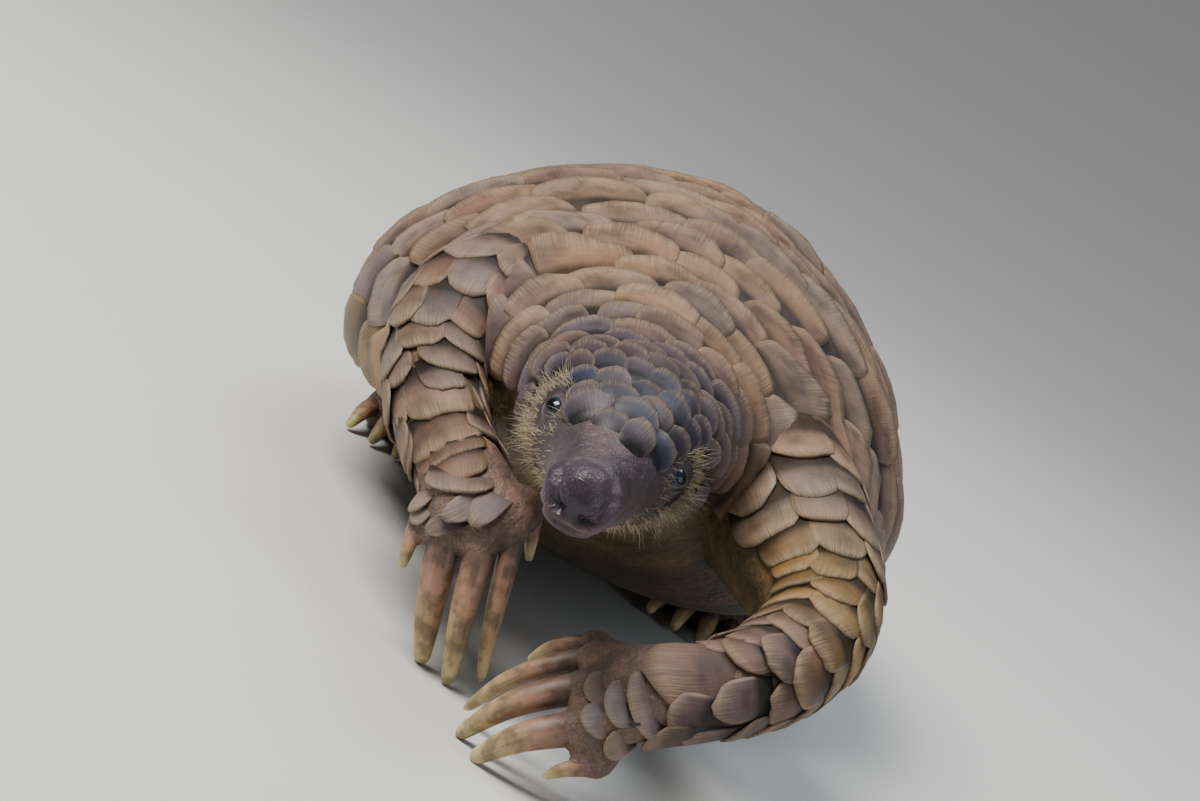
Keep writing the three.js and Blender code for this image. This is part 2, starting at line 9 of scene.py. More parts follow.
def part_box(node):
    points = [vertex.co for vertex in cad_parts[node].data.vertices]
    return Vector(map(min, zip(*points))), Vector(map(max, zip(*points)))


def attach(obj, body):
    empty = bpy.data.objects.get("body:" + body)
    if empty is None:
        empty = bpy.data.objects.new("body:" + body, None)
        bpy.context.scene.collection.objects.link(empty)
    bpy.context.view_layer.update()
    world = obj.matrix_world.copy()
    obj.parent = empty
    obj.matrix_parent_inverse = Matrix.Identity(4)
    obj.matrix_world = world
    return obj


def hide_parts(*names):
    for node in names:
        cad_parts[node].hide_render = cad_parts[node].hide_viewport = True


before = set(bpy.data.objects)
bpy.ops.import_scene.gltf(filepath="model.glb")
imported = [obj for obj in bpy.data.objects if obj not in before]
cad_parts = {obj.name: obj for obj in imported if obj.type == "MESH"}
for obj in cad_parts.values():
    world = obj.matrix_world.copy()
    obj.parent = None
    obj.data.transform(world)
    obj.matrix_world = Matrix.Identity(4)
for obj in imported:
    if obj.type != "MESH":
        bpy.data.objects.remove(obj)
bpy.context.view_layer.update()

# The view. The photograph looks the animal in the face from the front and a little above, with the
# camera turned a third of a right angle about its line of sight, so the eyes' line runs down to the
# right. Sizes here and below are millimetres, with the head at -Y and the animal's left at +X.
EYE_HEIGHT = 84.5
EYE_CENTRE = np.array([17.9, -3.5, EYE_HEIGHT + 0.8])
low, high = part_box("eye_left")
MODEL_ORIGIN = (np.array(low) + np.array(high)) / 2 - EYE_CENTRE / 1000


def metres(points):
    """Model millimetres to metres in the frame: a thousandth, moved to where the eyes are."""
    return np.asarray(points, float) / 1000 + MODEL_ORIGIN


VIEW_DISTANCE = 0.731
VIEW_ELEVATION = math.radians(10)
VIEW_ROLL = math.radians(30)
EYES_RIGHT_OF_CENTRE = 15 / 3875
EYES_BELOW_CENTRE = 44.5 / 3875
between_eyes = Vector(metres(EYE_CENTRE * [0, 1, 1]))
sight = Vector((0, math.cos(VIEW_ELEVATION), -math.sin(VIEW_ELEVATION)))
level = sight.cross(Vector((0, 0, 1))).normalized()
upright = level.cross(sight)
camera_right = level * math.cos(VIEW_ROLL) + upright * math.sin(VIEW_ROLL)
camera_up = upright * math.cos(VIEW_ROLL) - level * math.sin(VIEW_ROLL)
camera_place = between_eyes - sight * VIEW_DISTANCE
camera_place += camera_up * EYES_BELOW_CENTRE - camera_right * EYES_RIGHT_OF_CENTRE
camera_data = bpy.data.cameras.new("camera")
camera_data.lens = 85
camera_data.sensor_width = 36
camera = bpy.data.objects.new("camera", camera_data)
camera_turn = Matrix((camera_right, camera_up, -sight)).transposed()
camera.matrix_world = Matrix.Translation(camera_place) @ camera_turn.to_4x4()
bpy.context.collection.objects.link(camera)
bpy.context.scene.camera = camera


# The floor. A plain pale studio sweep: a wide flat disc that curves up into a low wall all round,
# so no edge shows behind the animal from any side.
def closed_ring_faces(rows, columns):
    """Quads between neighbouring rows of points that each run all the way round."""
    i, j = np.meshgrid(np.arange(rows - 1), np.arange(columns), indexing="ij")
    after = (j + 1) % columns
    corners = [i * columns + j, i * columns + after, (i + 1) * columns + after, (i + 1) * columns + j]
    return np.stack(corners, axis=-1).reshape(-1, 4)


def new_piece(name, points, faces, smooth=True):
    """A mesh object at the origin from an array of points and a list of faces."""
    mesh = bpy.data.meshes.new(name)
    mesh.from_pydata(np.asarray(points, float).reshape(-1, 3).tolist(), [], [list(f) for f in faces])
    mesh.polygons.foreach_set("use_smooth", [smooth] * len(mesh.polygons))
    mesh.update()
    piece = bpy.data.objects.new(name, mesh)
    bpy.context.collection.objects.link(piece)
    return piece


def painted(name):
    """A new material, with its node tree and its surface shader."""
    material = bpy.data.materials.new(name)
    material.use_nodes = True
    return material, material.node_tree, material.node_tree.nodes["Principled BSDF"]


SWEEP_FLAT = 1.1
SWEEP_RISE = 3.2
turn = np.linspace(0, math.tau, 97)[:-1]
climb = np.linspace(0, math.pi / 2, 30)
radius = np.concatenate([[0.02, 0.4, 0.8, SWEEP_FLAT], SWEEP_FLAT + SWEEP_RISE * np.sin(climb[1:])])
height = np.concatenate([[0, 0, 0, 0], SWEEP_RISE * (1 - np.cos(climb[1:]))])
ring = np.stack([np.cos(turn), np.sin(turn)], axis=-1)
sweep_points = np.concatenate([
    radius[:, None, None] * ring[None],
    np.broadcast_to(height[:, None, None], (len(radius), len(turn), 1)),
], axis=-1)
sweep_faces = closed_ring_faces(*sweep_points.shape[:2]).tolist() + [list(range(len(turn)))[::-1]]
floor = new_piece("studio_floor", sweep_points, [f[::-1] for f in sweep_faces])
floor_paint, _, floor_surface = painted("floor_paint")
floor_surface.inputs["Base Color"].default_value = (0.62, 0.62, 0.60, 1)
floor_surface.inputs["Roughness"].default_value = 0.9
floor_surface.inputs["Specular IOR Level"].default_value = 0.1
floor.data.materials.append(floor_paint)

# The light. Soft daylight: a broad key from above and the animal's right, a cool fill from its left
# and a faint sky all round.
world = bpy.data.worlds.new("sky")
world.use_nodes = True
world.node_tree.nodes["Background"].inputs["Color"].default_value = (0.80, 0.87, 1.0, 1)
world.node_tree.nodes["Background"].inputs["Strength"].default_value = 0.17
bpy.context.scene.world = world


def soft_light(name, place, aim, size, watts, colour):
    """A square area light at a place in metres, turned to shine at a point."""
    lamp = bpy.data.lights.new(name, "AREA")
    lamp.size = size
    lamp.energy = watts
    lamp.color = colour
    holder = bpy.data.objects.new(name, lamp)
    holder.location = place
    holder.rotation_euler = (Vector(aim) - Vector(place)).to_track_quat("-Z", "Y").to_euler()
    bpy.context.collection.objects.link(holder)


soft_light("key_light", (-0.75, -0.55, 1.25), (0, 0.0, 0.06), 0.7, 38, (1.0, 0.96, 0.9))
soft_light("overhead_light", (0.25, 0.15, 1.5), (0, 0.0, 0.06), 0.8, 12, (0.86, 0.92, 1.0))
soft_light("fill_light", (1.2, -0.9, 0.7), (0, -0.2, 0.06), 0.8, 4, (0.8, 0.88, 1.0))

# The skin. One soft hide under everything, bare on the face, throat, belly and the inner sides of
# the legs. It is a single surface swept from nose to tail tip, with the legs grown into it.
HEAD_LINE = [  # x, y, z, half width, above, below
    [-1.5, -48.4, EYE_HEIGHT - 8.6, 0.3, 0.3, 0.3],
    [-1.5, -47.6, EYE_HEIGHT - 8.4, 4.2, 3.2, 4.6],
    [-1.4, -45.0, EYE_HEIGHT - 8.0, 7.6, 6.4, 8.4],
    [-1.3, -41.0, EYE_HEIGHT - 7.5, 9.4, 7.8, 9.9],
    [-1.1, -35.0, EYE_HEIGHT - 7.0, 9.9, 9.2, 10.9],
    [-0.7, -26.0, EYE_HEIGHT - 6.0, 11.6, 11.2, 12.4],
    [0, -15.0, EYE_HEIGHT - 4.0, 15.0, 14.6, 15.4],
    [0, -4.0, EYE_HEIGHT - 2.0, 19.8, 17.4, 18.4],
    [0, 8.0, EYE_HEIGHT - 0.5, 23.4, 19.2, 21.0],
    [0, 24.0, EYE_HEIGHT, 26.6, 21.0, 24.0],
]
BACK_HEIGHT = 134
BODY_LINE = [
    [0, 40.6, EYE_HEIGHT - 1, 28.6, 22.6, 26.5],
    [0, 64, EYE_HEIGHT - 2, 34, 27, 31],
    [0, 88, 78.5, 45, 36, 37],
    [0, 114, 72.5, 64, 48, 45],
    [0, 142, 66, 82, 61, 48],
    [0, 172, 61, 93, BACK_HEIGHT - 62.5, 46],
    [0, 204, 58.5, 96, BACK_HEIGHT - 58.5, 42.5],
    [0, 238, 57, 94, 76.5, 39.5],
    [0, 272, 54, 87, 71.5, 36.5],
    [0, 304, 48, 78, 63, 32.5],
    [-1, 336, 41, 69.5, 52, 29],
    [-3, 372, 33.5, 62, 41, 24.5],
    [-8, 414, 26, 56, 32, 20.8],
    [-15, 462, 19.8, 51, 25, 17.6],
    [-25, 514, 16.4, 46, 20.5, 15.2],
    [-37, 566, 14.8, 39.5, 16, 13.4],
    [-49, 614, 13.4, 33.5, 13.2, 12],
    [-57, 650, 12, 25, 10.4, 10.4],
    [-62, 672, 11, 14, 7, 7.5],
    [-64, 681, 10.6, 5, 3.6, 3.8],
]
CROWN_FRONT = 24  # along the back from the tip of the nose, where the crown's scales start
NAPE = 84
TAIL_ROOT = 386
SKIN_DEPTH = 1.2  # how far the skin lies under the scales' roots


def unit(vectors):
    """Vectors scaled to length one."""
    return vectors / np.linalg.norm(vectors, axis=-1, keepdims=True)


def through(table, t):
    """A smooth curve through a table's rows: Catmull-Rom, with row k met at t = k."""
    table = np.asarray(table, float)
    last = len(table) - 1
    i = np.clip(np.floor(t).astype(int), 0, last - 1)
    f = (t - i)[..., None]
    b = table[i]
    c = table[i + 1]
    a = np.where((i > 0)[..., None], table[np.maximum(i - 1, 0)], 2 * b - c)
    d = np.where((i + 2 <= last)[..., None], table[np.minimum(i + 2, last)], 2 * c - b)
    return (2 * b + (c - a) * f + (2 * a - 5 * b + 4 * c - d) * f**2 + (3 * b - a - 3 * c + d) * f**3) / 2


def ease(low, high, x):
    """0 below low, 1 above high and a smooth rise between them."""
    t = np.clip((x - low) / (high - low), 0, 1)
    return t * t * (3 - 2 * t)


def swept(line, outward=None, crest=None):
    """A body swept along a line: gives, at each arc length, its centre, axes and half sizes."""
    steps = np.linspace(0, len(line) - 1, 1500)
    centres = through(line, steps)[:, :3]
    run = np.concatenate([[0], np.cumsum(np.linalg.norm(np.diff(centres, axis=0), axis=1))])

    def section(s):
        t = np.interp(s, run, steps)
        row = through(line, t)
        ahead = through(line, t + 0.02)[..., :3] - through(line, t - 0.02)[..., :3]
        tangent = unit(ahead)
        out = through(outward, t) if outward is not None else np.array([0, 0, 1.0])
        side = unit(np.cross(tangent, out))
        up = np.cross(side, tangent)
        sizes = np.maximum(row[..., 3:6], 0.3)
        peak = crest(s) if crest else np.ones_like(s)
        return row[..., :3], side, up, sizes, peak

    return section, run[-1]


BELLY_SQUARENESS = 0.86


def on_surface(section, s, angle, lift):
    """The point at an angle from the top of the section at s, lifted along the section's normal.

    x = width * sin(angle), z = height * cos(angle), with the lower half squarer and the trunk's
    upper half raised to its crest power.
    """
    s, angle, lift = np.broadcast_arrays(s, angle, lift)
    centre, side, up, sizes, peak = section(s)
    c = np.cos(angle)
    n = np.sin(angle)
    height = np.where(c < 0, sizes[..., 2], sizes[..., 1])
    power = np.where(c < 0, BELLY_SQUARENESS, peak)
    across = np.sign(n) * np.abs(n) ** power
    upward = np.sign(c) * np.abs(c) ** power
    normal = unit(np.stack([n / sizes[..., 0], c / height], axis=-1))
    x = sizes[..., 0] * across + lift * normal[..., 0]
    z = height * upward + lift * normal[..., 1]
    return centre + side * x[..., None] + up * z[..., None]


def crest_of_back(s):
    """The trunk's upper half falls away faster to each side than an ellipse, from the neck back."""
    return 1 + 0.14 * ease(100, 185, s)


SPINE_LINE = HEAD_LINE + BODY_LINE
spine, spine_length = swept(SPINE_LINE, crest=crest_of_back)
HEAD_LENGTH = 91.0  # along the skin to the back of the head

GAZE = unit(np.array([0.83, -0.5, 0.24]))
EYE_RADIUS = 4.1
EYE_SEAT = EYE_CENTRE - GAZE * 0.9
LID_THICKNESS = 0.75
LID_OPENING = (2.75, 2.1)
NOSE_SHIFT = np.array([-1.4, 0, 0])  # the head is turned a little to the animal's right
NOSE_PAD = np.array([0, -41.6, EYE_HEIGHT - 5.4]) + NOSE_SHIFT
NOSE_PAD_RADIUS = 6.5
NOSTRIL = [
    [3.0, -47.0, EYE_HEIGHT - 11.4],
    [4.4, -46.6, EYE_HEIGHT - 10.9],
    [5.9, -45.4, EYE_HEIGHT - 9.2],
    [7.0, -43.6, EYE_HEIGHT - 6.6],
    [7.2, -41.8, EYE_HEIGHT - 4.2],
]
MOUTH = [[k * 10.2, -44.6 + 18 * k * k, EYE_HEIGHT - 15.0 + 1.8 * k * k] for k in np.linspace(-1, 1, 41)]


def away_from(points, path):
    """The distance from each point to a path, as seen from straight ahead."""
    path = np.asarray(path, float)
    fine = through(path, np.linspace(0, len(path) - 1, 60))
    gaps = points[:, None, ::2] - fine[None, :, ::2]
    return np.sqrt((gaps**2).sum(-1)).min(axis=1)


def shape_face(points, normals):
    """The face's own forms, added to the swept head.

    Each is a bell curve of the distance from its line: nostrils, the mouth's line between two lips.
    Round each eye the skin is laid over a ball a lid's thickness larger than the eye, and inside the
    opening it is sunk behind the eye.
    """
    shape = points.copy()
    from_pad = shape - NOSE_PAD
    away = np.linalg.norm(from_pad, axis=1)
    push = np.logaddexp(0, (NOSE_PAD_RADIUS - away) / 0.35) * 0.35
    shape += from_pad / away[:, None] * np.minimum(push, 4)[:, None]
    groove = np.exp(-((away - NOSE_PAD_RADIUS - 1.0) / 1.0) ** 2) * ease(-8, -5, shape[:, 2] - EYE_HEIGHT)
    shape -= normals * (0.45 * groove)[:, None]
    centred = points - NOSE_SHIFT
    muzzle = 1 - ease(-39, -36, points[:, 1])
    for own in (centred, centred * [-1, 1, 1]):
        slit = away_from(own, NOSTRIL)
        depth = 1.1 + 1.7 * (1 - ease(-11.5, -9.0, own[:, 2] - EYE_HEIGHT))
        shape -= normals * (muzzle * depth * np.exp(-(slit / 0.8) ** 2))[:, None]
        from_middle = np.hypot(own[:, 0], own[:, 2] - EYE_HEIGHT + 5.4)
        outside = ease(6.6, 8.2, from_middle) * np.exp(-((slit - 2.0) / 0.9) ** 2)
        shape += normals * (muzzle * 0.9 * outside)[:, None]
    mouth = away_from(centred, MOUTH)
    jaw = 1 - ease(-29, -23, points[:, 1])
    shape -= normals * (jaw * 1.5 * np.exp(-(mouth / 0.55) ** 2))[:, None]
    shape += normals * (jaw * 0.6 * np.exp(-((mouth - 1.5) / 0.7) ** 2))[:, None]
    folds = np.sin(points[:, 1] * 1.9 + 1.3 * np.sin(points[:, 2] * 0.6 + points[:, 0] * 0.3))
    folds = folds * np.sin(points[:, 2] * 0.9 + points[:, 1] * 0.35 + points[:, 0] * 0.5)
    cheek = ease(-38, -32, points[:, 1]) * (1 - ease(8, 14, points[:, 1]))
    shape += normals * (0.3 * folds * cheek)[:, None]
    for side in (1, -1):
        flip = np.array([side, 1, 1])
        gaze = GAZE * flip
        across = unit(np.cross([0, 0.2, 1.0], gaze))
        up = np.cross(gaze, across)
        offset = shape - EYE_SEAT * flip
        a = offset @ across
        b = offset @ up
        depth = offset @ gaze
        spread = np.sqrt(a * a + b * b)
        rim = np.sqrt((a / LID_OPENING[0]) ** 2 + (b / LID_OPENING[1]) ** 2)
        ball = EYE_RADIUS + LID_THICKNESS
        dome = np.sqrt(np.maximum(ball**2 - spread**2, 0))
        near = (depth > -4) & (spread < 12)
        lid = dome + 0.35 * np.exp(-((rim - 1.14) / 0.13) ** 2)
        lid = lid - 0.4 * np.exp(-((rim - 1.5) / 0.12) ** 2) + 0.12 * ease(0, 2, b)
        sunk = np.minimum(dome, depth) - 2.4
        target = np.where(rim < 1, sunk, lid)
        blend = 1 - ease(ball - 1.9, ball + 2.4, spread)
        ripple = np.cos(spread * 3.6 + 0.8 * np.sin(np.arctan2(b, a) * 3))
        wrinkles = 0.28 * ripple * np.exp(-((spread - 6.0) / 1.7) ** 2)
        moved = np.where(near, (target - depth) * blend - wrinkles, 0)
        shape += gaze * moved[:, None]
    return shape


def grid_normals(grid):
    """Outward normals of a grid of rows that run round a body."""
    along = np.gradient(grid, axis=0)
    around = np.roll(grid, -1, axis=1) - np.roll(grid, 1, axis=1)
    return unit(np.cross(around, along) + 1e-12)


SKIN_COLUMNS = 190
FACE_END = 60.0
fine = np.linspace(0, FACE_END, 1200)
mean_radius = spine(fine)[3].mean(axis=-1)
travel = np.concatenate([[0], np.cumsum(np.hypot(np.diff(fine), np.diff(mean_radius)))])
rows_on_nose = np.interp(np.arange(0, 17, 0.28), travel, fine)
rows_on_face = np.interp(np.arange(17, travel[-1], 0.46), travel, fine)
rows_behind = [np.linspace(61, HEAD_LENGTH, 22), np.linspace(93, 200, 34), np.linspace(203, 380, 36)]
rows_on_tail = np.linspace(384, spine_length, 46)
skin_rows = np.concatenate([rows_on_nose, rows_on_face, *rows_behind, rows_on_tail])
skin_angles = np.linspace(-math.pi, math.pi, SKIN_COLUMNS + 1)[:-1]
bare_face = 1 - ease(CROWN_FRONT, CROWN_FRONT + 30, skin_rows)
sink = -SKIN_DEPTH * (1 - bare_face)
hide = on_surface(spine, skin_rows[:, None], skin_angles[None, :], sink[:, None])
hide_normals = grid_normals(hide)
on_face = skin_rows < 62
face = shape_face(hide[on_face].reshape(-1, 3), hide_normals[on_face].reshape(-1, 3))
hide[on_face] = face.reshape(hide[on_face].shape)


def capped(grid):
    """Points and faces of a body of rows that run round it, closed by a point at each end."""
    rows, columns = grid.shape[:2]
    points = np.concatenate([grid.reshape(-1, 3), grid[:1].mean(axis=1), grid[-1:].mean(axis=1)])
    j = np.arange(columns)
    after = (j + 1) % columns
    front = np.stack([np.full(columns, rows * columns), after, j], axis=-1)
    last = (rows - 1) * columns
    back = np.stack([np.full(columns, rows * columns + 1), last + j, last + after], axis=-1)
    return points, closed_ring_faces(rows, columns).tolist() + front.tolist() + back.tolist()


# Forelegs: shoulder, elbow and wrist to the knuckles, and each digit to the root of its claw
FORELEGS = {
    "left": {
        "line": [
            [40, 116, 78.5, 28, 28, 28],
            [60, 84, 70.5, 23, 24, 25],
            [74, 50, 63.5, 16.5, 16.5, 17],
            [69, 17, 53.5, 15, 14.5, 15],
            [56, -6, 44.5, 13.5, 12, 12],
            [40, -15, 36.5, 14.5, 10.5, 11],
            [30, -17, 31.5, 14, 7.5, 8],
        ],
        "outward": [
            [0.7, 0, 0.7],
            [0.75, -0.1, 0.65],
            [0.7, -0.45, 0.55],
            [0.35, -0.75, 0.55],
            [-0.1, -0.85, 0.5],
            [-0.45, -0.8, 0.4],
            [-0.55, -0.75, 0.36],
        ],
        "digits": [
            ([20, 4, 34.5], [9, 10, 20.5], 2.2),
            ([23, -6, 34.5], [0.5, 1, 2.5], 3.0),
            ([25.5, -16, 30], [2, -15, 0], 4.1),
            ([29, -25, 22], [8, -26, 0], 4.4),
            ([35, -28, 14.5], [26, -32, 7.5], 2.3),
        ],
    },
    "right": {
        "line": [
            [-40, 134, 82.5, 28, 28, 28],
            [-53, 114, 74.5, 24, 24, 25],
            [-57, 93, 64.5, 16.5, 16.5, 17],
            [-50, 73, 56.5, 15, 14.5, 15],
            [-39, 53, 50.5, 13.5, 12.5, 12],
            [-28.5, 37, 47, 14.5, 10.5, 10.5],
            [-22.5, 28, 43, 14, 7.5, 8],
        ],
        "outward": [
            [-0.7, 0, 0.7],
            [-0.8, -0.1, 0.6],
            [-0.65, -0.5, 0.55],
            [-0.35, -0.65, 0.65],
            [-0.15, -0.7, 0.7],
            [-0.1, -0.85, 0.5],
            [-0.05, -1, 0.15],
        ],
        "digits": [
            ([-9.5, 36, 51.5], [-4, 37, 37.5], 2.2),
            ([-11.5, 28, 46], [1, 27, 3.5], 3.0),
            ([-18, 23.5, 40.5], [-6.5, 20, 0], 4.0),
            ([-27.5, 24, 37], [-15.5, 26, 0], 4.6),
            ([-35.5, 27, 34], [-33, 23, 21.5], 2.3),
        ],
    },
}
KNUCKLE = 1.24  # a digit's half width over its claw's

# Hind legs: a short pillar from the hip and a broad sole flat on the floor
HIP_BACK = 282
HIND_STANCE = {"left": (1, -6), "right": (-1, 10)}
FOOT_OUT = 56
FOOT_LENGTH = 66
FOOT_HALF_WIDTH = 21
HEEL_BACK = 12
TOES_OUT = 4
NAIL_LENGTH = 15


def tube_grid(path, sizes, outward, rows, columns):
    """An oval tube along a path: points at each station turned round the path's own direction."""
    t = np.linspace(0, len(path) - 1, rows)
    centre = through(path, t)
    tangent = unit(through(path, t + 0.02) - through(path, t - 0.02))
    side = unit(np.cross(tangent, outward))
    up = np.cross(side, tangent)
    angle = np.linspace(-math.pi, math.pi, columns + 1)[:-1]
    share = np.linspace(0, 1, rows)
    half, tall = sizes(share)
    x = half[:, None] * np.sin(angle)
    z = tall[:, None] * np.cos(angle)
    return centre[:, None] + side[:, None] * x[..., None] + up[:, None] * z[..., None]


def digit_direction(root, tip, outward):
    """Which way a claw leaves its digit: towards the tip, tilted outwards by a third."""
    aim = unit(np.subtract(tip, root).astype(float))
    return unit(aim + 0.35 * unit(np.asarray(outward, float)))


def joined(parts):
    """Several bodies of points and faces as one list of each."""
    points = []
    faces = []
    count = 0
    for own_points, own_faces in parts:
        faces += [[count + k for k in face] for face in own_faces]
        points.append(own_points)
        count += len(own_points)
    return np.concatenate(points), faces


def toe_section(inner, root, tip, half, back):
    """A toe from within the hand to a sleeve of skin round the root of its claw."""
    direction = digit_direction(root, tip, back)
    root = np.array(root, float)
    start = inner * 0.7 + root * 0.3
    knuckle = half * KNUCKLE + 0.5
    line = [
        [*start, knuckle, knuckle, knuckle],
        [*(root - direction * half * 1.6), knuckle * 1.06, knuckle * 1.06, knuckle * 1.06],
        [*root, knuckle, knuckle, knuckle],
        [*(root + direction * 3.6), half * 1.2, half * 1.24, half * 1.2],
        [*(root + direction * 7.4), half * 1.04, half * 1.08, half * 1.04],
    ]
    return swept(line, [back] * 5)


def foreleg_body(leg):
    """The leg's sweep a skin's depth inside, and a swollen tube for each digit."""
    section, length = swept(leg["line"], leg["outward"])
    s = np.linspace(0, length, 60)
    angle = np.linspace(-math.pi, math.pi, 41)[:-1]
    parts = [capped(on_surface(section, s[:, None], angle[None], -SKIN_DEPTH))]
    back = leg["outward"][-1]
    inner = section(np.array([length * 0.93]))[0][0]
    for root, tip, half in leg["digits"]:
        toe, toe_length = toe_section(inner, root, tip, half, back)
        parts.append(capped(on_surface(toe, np.linspace(0, toe_length, 24)[:, None], angle[None, ::2], 0)))
    points, faces = joined(parts)
    points[:, 2] = np.maximum(points[:, 2], 0)
    return points, faces


def hind_line(side, shift):
    """A hind leg from the hip to the sole, and which way its front faces at each row."""
    y = HIP_BACK + shift
    line = [
        [side * 36, y, 62, 33, 33, 33],
        [side * 50, y - 10, 48, 28, 30, 28],
        [side * 56, y - 14, 34, 24, 26, 24],
        [side * 57, y - 11, 19, 21, 22, 21],
        [side * 57, y - 9, 6, 20, 21, 20],
    ]
    return line, [[side * 0.9, -0.3 - 0.1 * k, 0.3] for k in range(5)]


def hindleg_body(side, shift):
    """The leg's pillar, its sole and five blunt toes."""
    y = HIP_BACK + shift
    section, length = swept(*hind_line(side, shift))
    angle = np.linspace(-math.pi, math.pi, 41)[:-1]
    s = np.linspace(0, length, 30)
    parts = [capped(on_surface(section, s[:, None], angle[None], -SKIN_DEPTH))]
    heel = y + HEEL_BACK
    toe = heel - FOOT_LENGTH
    turn_out = side * TOES_OUT
    sole = [
        [side * FOOT_OUT, heel + 1, 9, 6, 4, 8],
        [side * FOOT_OUT, heel, 10, 13, 7, 12],
        [side * FOOT_OUT, heel - 8, 11, 18, 8.5, 13],
        [side * FOOT_OUT + turn_out * 0.4, heel - 30, 11, FOOT_HALF_WIDTH, 9, 13],
        [side * FOOT_OUT + turn_out, toe + 6, 9, FOOT_HALF_WIDTH, 8, 11],
        [side * FOOT_OUT + turn_out, toe, 7, FOOT_HALF_WIDTH - 4, 6, 8],
        [side * FOOT_OUT + turn_out, toe - 1.5, 6, FOOT_HALF_WIDTH - 9, 3, 5],
    ]
    section, length = swept(sole)
    s = np.linspace(0, length, 40)
    parts.append(capped(on_surface(section, s[:, None], angle[None], 0)))
    for k in range(5):
        spread = (k - 2) / 2
        x = side * FOOT_OUT + turn_out + spread * (FOOT_HALF_WIDTH - 4.5)
        root = np.array([x, toe - 4 + 6 * spread * spread, 8.0])
        path = [[x * 0.98, toe + 14, 9], [x, root[1] + 4, 8.4], root]
        toe_size = lambda t: (4.8 - 0.9 * t**4, 5.0 - 0.9 * t**4)
        parts.append(capped(tube_grid(path, toe_size, [0, 0, 1], 16, 18)))
    points, faces = joined(parts)
    points[:, 2] = np.maximum(points[:, 2], 0)
    return points, faces


def evaluated(piece):
    """The piece's mesh with its modifiers applied, as a new mesh on the same object."""
    graph = bpy.context.evaluated_depsgraph_get()
    mesh = bpy.data.meshes.new_from_object(piece.evaluated_get(graph))
    piece.modifiers.clear()
    old = piece.data
    piece.data = mesh
    bpy.data.meshes.remove(old)


def points_of(mesh):
    """A mesh's points as an array."""
    flat = np.empty(len(mesh.vertices) * 3)
    mesh.vertices.foreach_get("co", flat)
    return flat.reshape(-1, 3)


skin = new_piece("skin", metres(capped(hide)[0]), capped(hide)[1])
trunk_points = np.round(points_of(skin.data), 6)
limbs = []
for name, leg in FORELEGS.items():
    points, faces = foreleg_body(leg)
    limbs.append((new_piece("limb_fore_" + name, metres(points), faces), 0.0012))
for name, (side, shift) in HIND_STANCE.items():
    points, faces = hindleg_body(side, shift)
    limbs.append((new_piece("limb_hind_" + name, metres(points), faces), 0.0017))
for limb, grain in limbs:
    fuse = limb.modifiers.new("fuse", "REMESH")
    fuse.mode = "VOXEL"
    fuse.voxel_size = grain
    relax = limb.modifiers.new("relax", "SMOOTH")
    relax.factor = 0.5
    relax.iterations = 8
    evaluated(limb)
    grow = skin.modifiers.new("grow_" + limb.name, "BOOLEAN")
    grow.operation = "UNION"
    grow.solver = "EXACT"
    grow.object = limb
limb_points = np.concatenate([np.round(points_of(limb.data), 6) for limb, _ in limbs])
evaluated(skin)
for limb, _ in limbs:
    bpy.data.objects.remove(limb)


def soften_joins(mesh, known, passes=14):
    """Rounds the crease where the legs meet the trunk.

    The points that the union made new mark the crease. Their weight spreads along the edges, and
    each pass moves a weighted point towards the mean of its neighbours.
    """
    points = points_of(mesh)
    ends = np.empty(len(mesh.edges) * 2, int)
    mesh.edges.foreach_get("vertices", ends)
    a, b = ends.reshape(-1, 2).T
    keys = {tuple(row) for row in np.round(known, 5).tolist()}
    fresh = np.array([tuple(row) not in keys for row in np.round(points, 5).tolist()], float)
    count = np.bincount(a, minlength=len(points)) + np.bincount(b, minlength=len(points))
    weight = fresh
    for _ in range(5):
        spread = np.bincount(a, weight[b], len(points)) + np.bincount(b, weight[a], len(points))
        weight = np.maximum(weight, 0.9 * spread / np.maximum(count, 1) * 1.6).clip(0, 1)
    for _ in range(passes):
        total = np.stack([
            np.bincount(a, points[b, k], len(points)) + np.bincount(b, points[a, k], len(points))
            for k in range(3)
        ], axis=-1)
        points += weight[:, None] * 0.6 * (total / np.maximum(count, 1)[:, None] - points)
    mesh.vertices.foreach_set("co", points.ravel())
    mesh.update()


soften_joins(skin.data, np.concatenate([trunk_points, limb_points]))
skin.data.polygons.foreach_set("use_smooth", [True] * len(skin.data.polygons))

FACE_HUE = (0.066, 0.049, 0.056)
NOSE_HUE = (0.050, 0.038, 0.052)
LIP_HUE = (0.16, 0.082, 0.082)
# The throat's ochre and the hide's brown are darkened past their own colours as painted shade, for the
# shadow under the head and body.
THROAT_HUE_AND_SHADE = (0.135, 0.088, 0.034)
HAND_HUE = (0.150, 0.098, 0.076)
HIDE_HUE_AND_UNDER_SHADE = (0.082, 0.056, 0.032)


def mixed(first, second, share):
    """A blend from one colour to another by a share for each point."""
    return first + (np.asarray(second) - first) * share[:, None]


def skin_hues(points):
    """The hide's colour at each point, in millimetres of the model: face, nose, throat, hands, with the
    throat and the hide below darkened as painted shade.
    """
    x, y, z = points.T
    hue = np.broadcast_to(np.array(HIDE_HUE_AND_UNDER_SHADE), points.shape).copy()
    hue = mixed(hue, FACE_HUE, 1 - ease(-2, 26, y))
    throat_and_shade = (1 - ease(60, 110, y)) * ease(8, 20, EYE_HEIGHT - z) * ease(-38, -18, y)
    hue = mixed(hue, THROAT_HUE_AND_SHADE, 0.75 * throat_and_shade)
    hue = mixed(hue, NOSE_HUE, 1 - ease(-43, -36, y))
    lips = np.exp(-(away_from(points - NOSE_SHIFT, MOUTH) / 1.8) ** 2) * (1 - ease(-36, -28, y))
    hue = mixed(hue, LIP_HUE, lips * 0.7)
    return hue


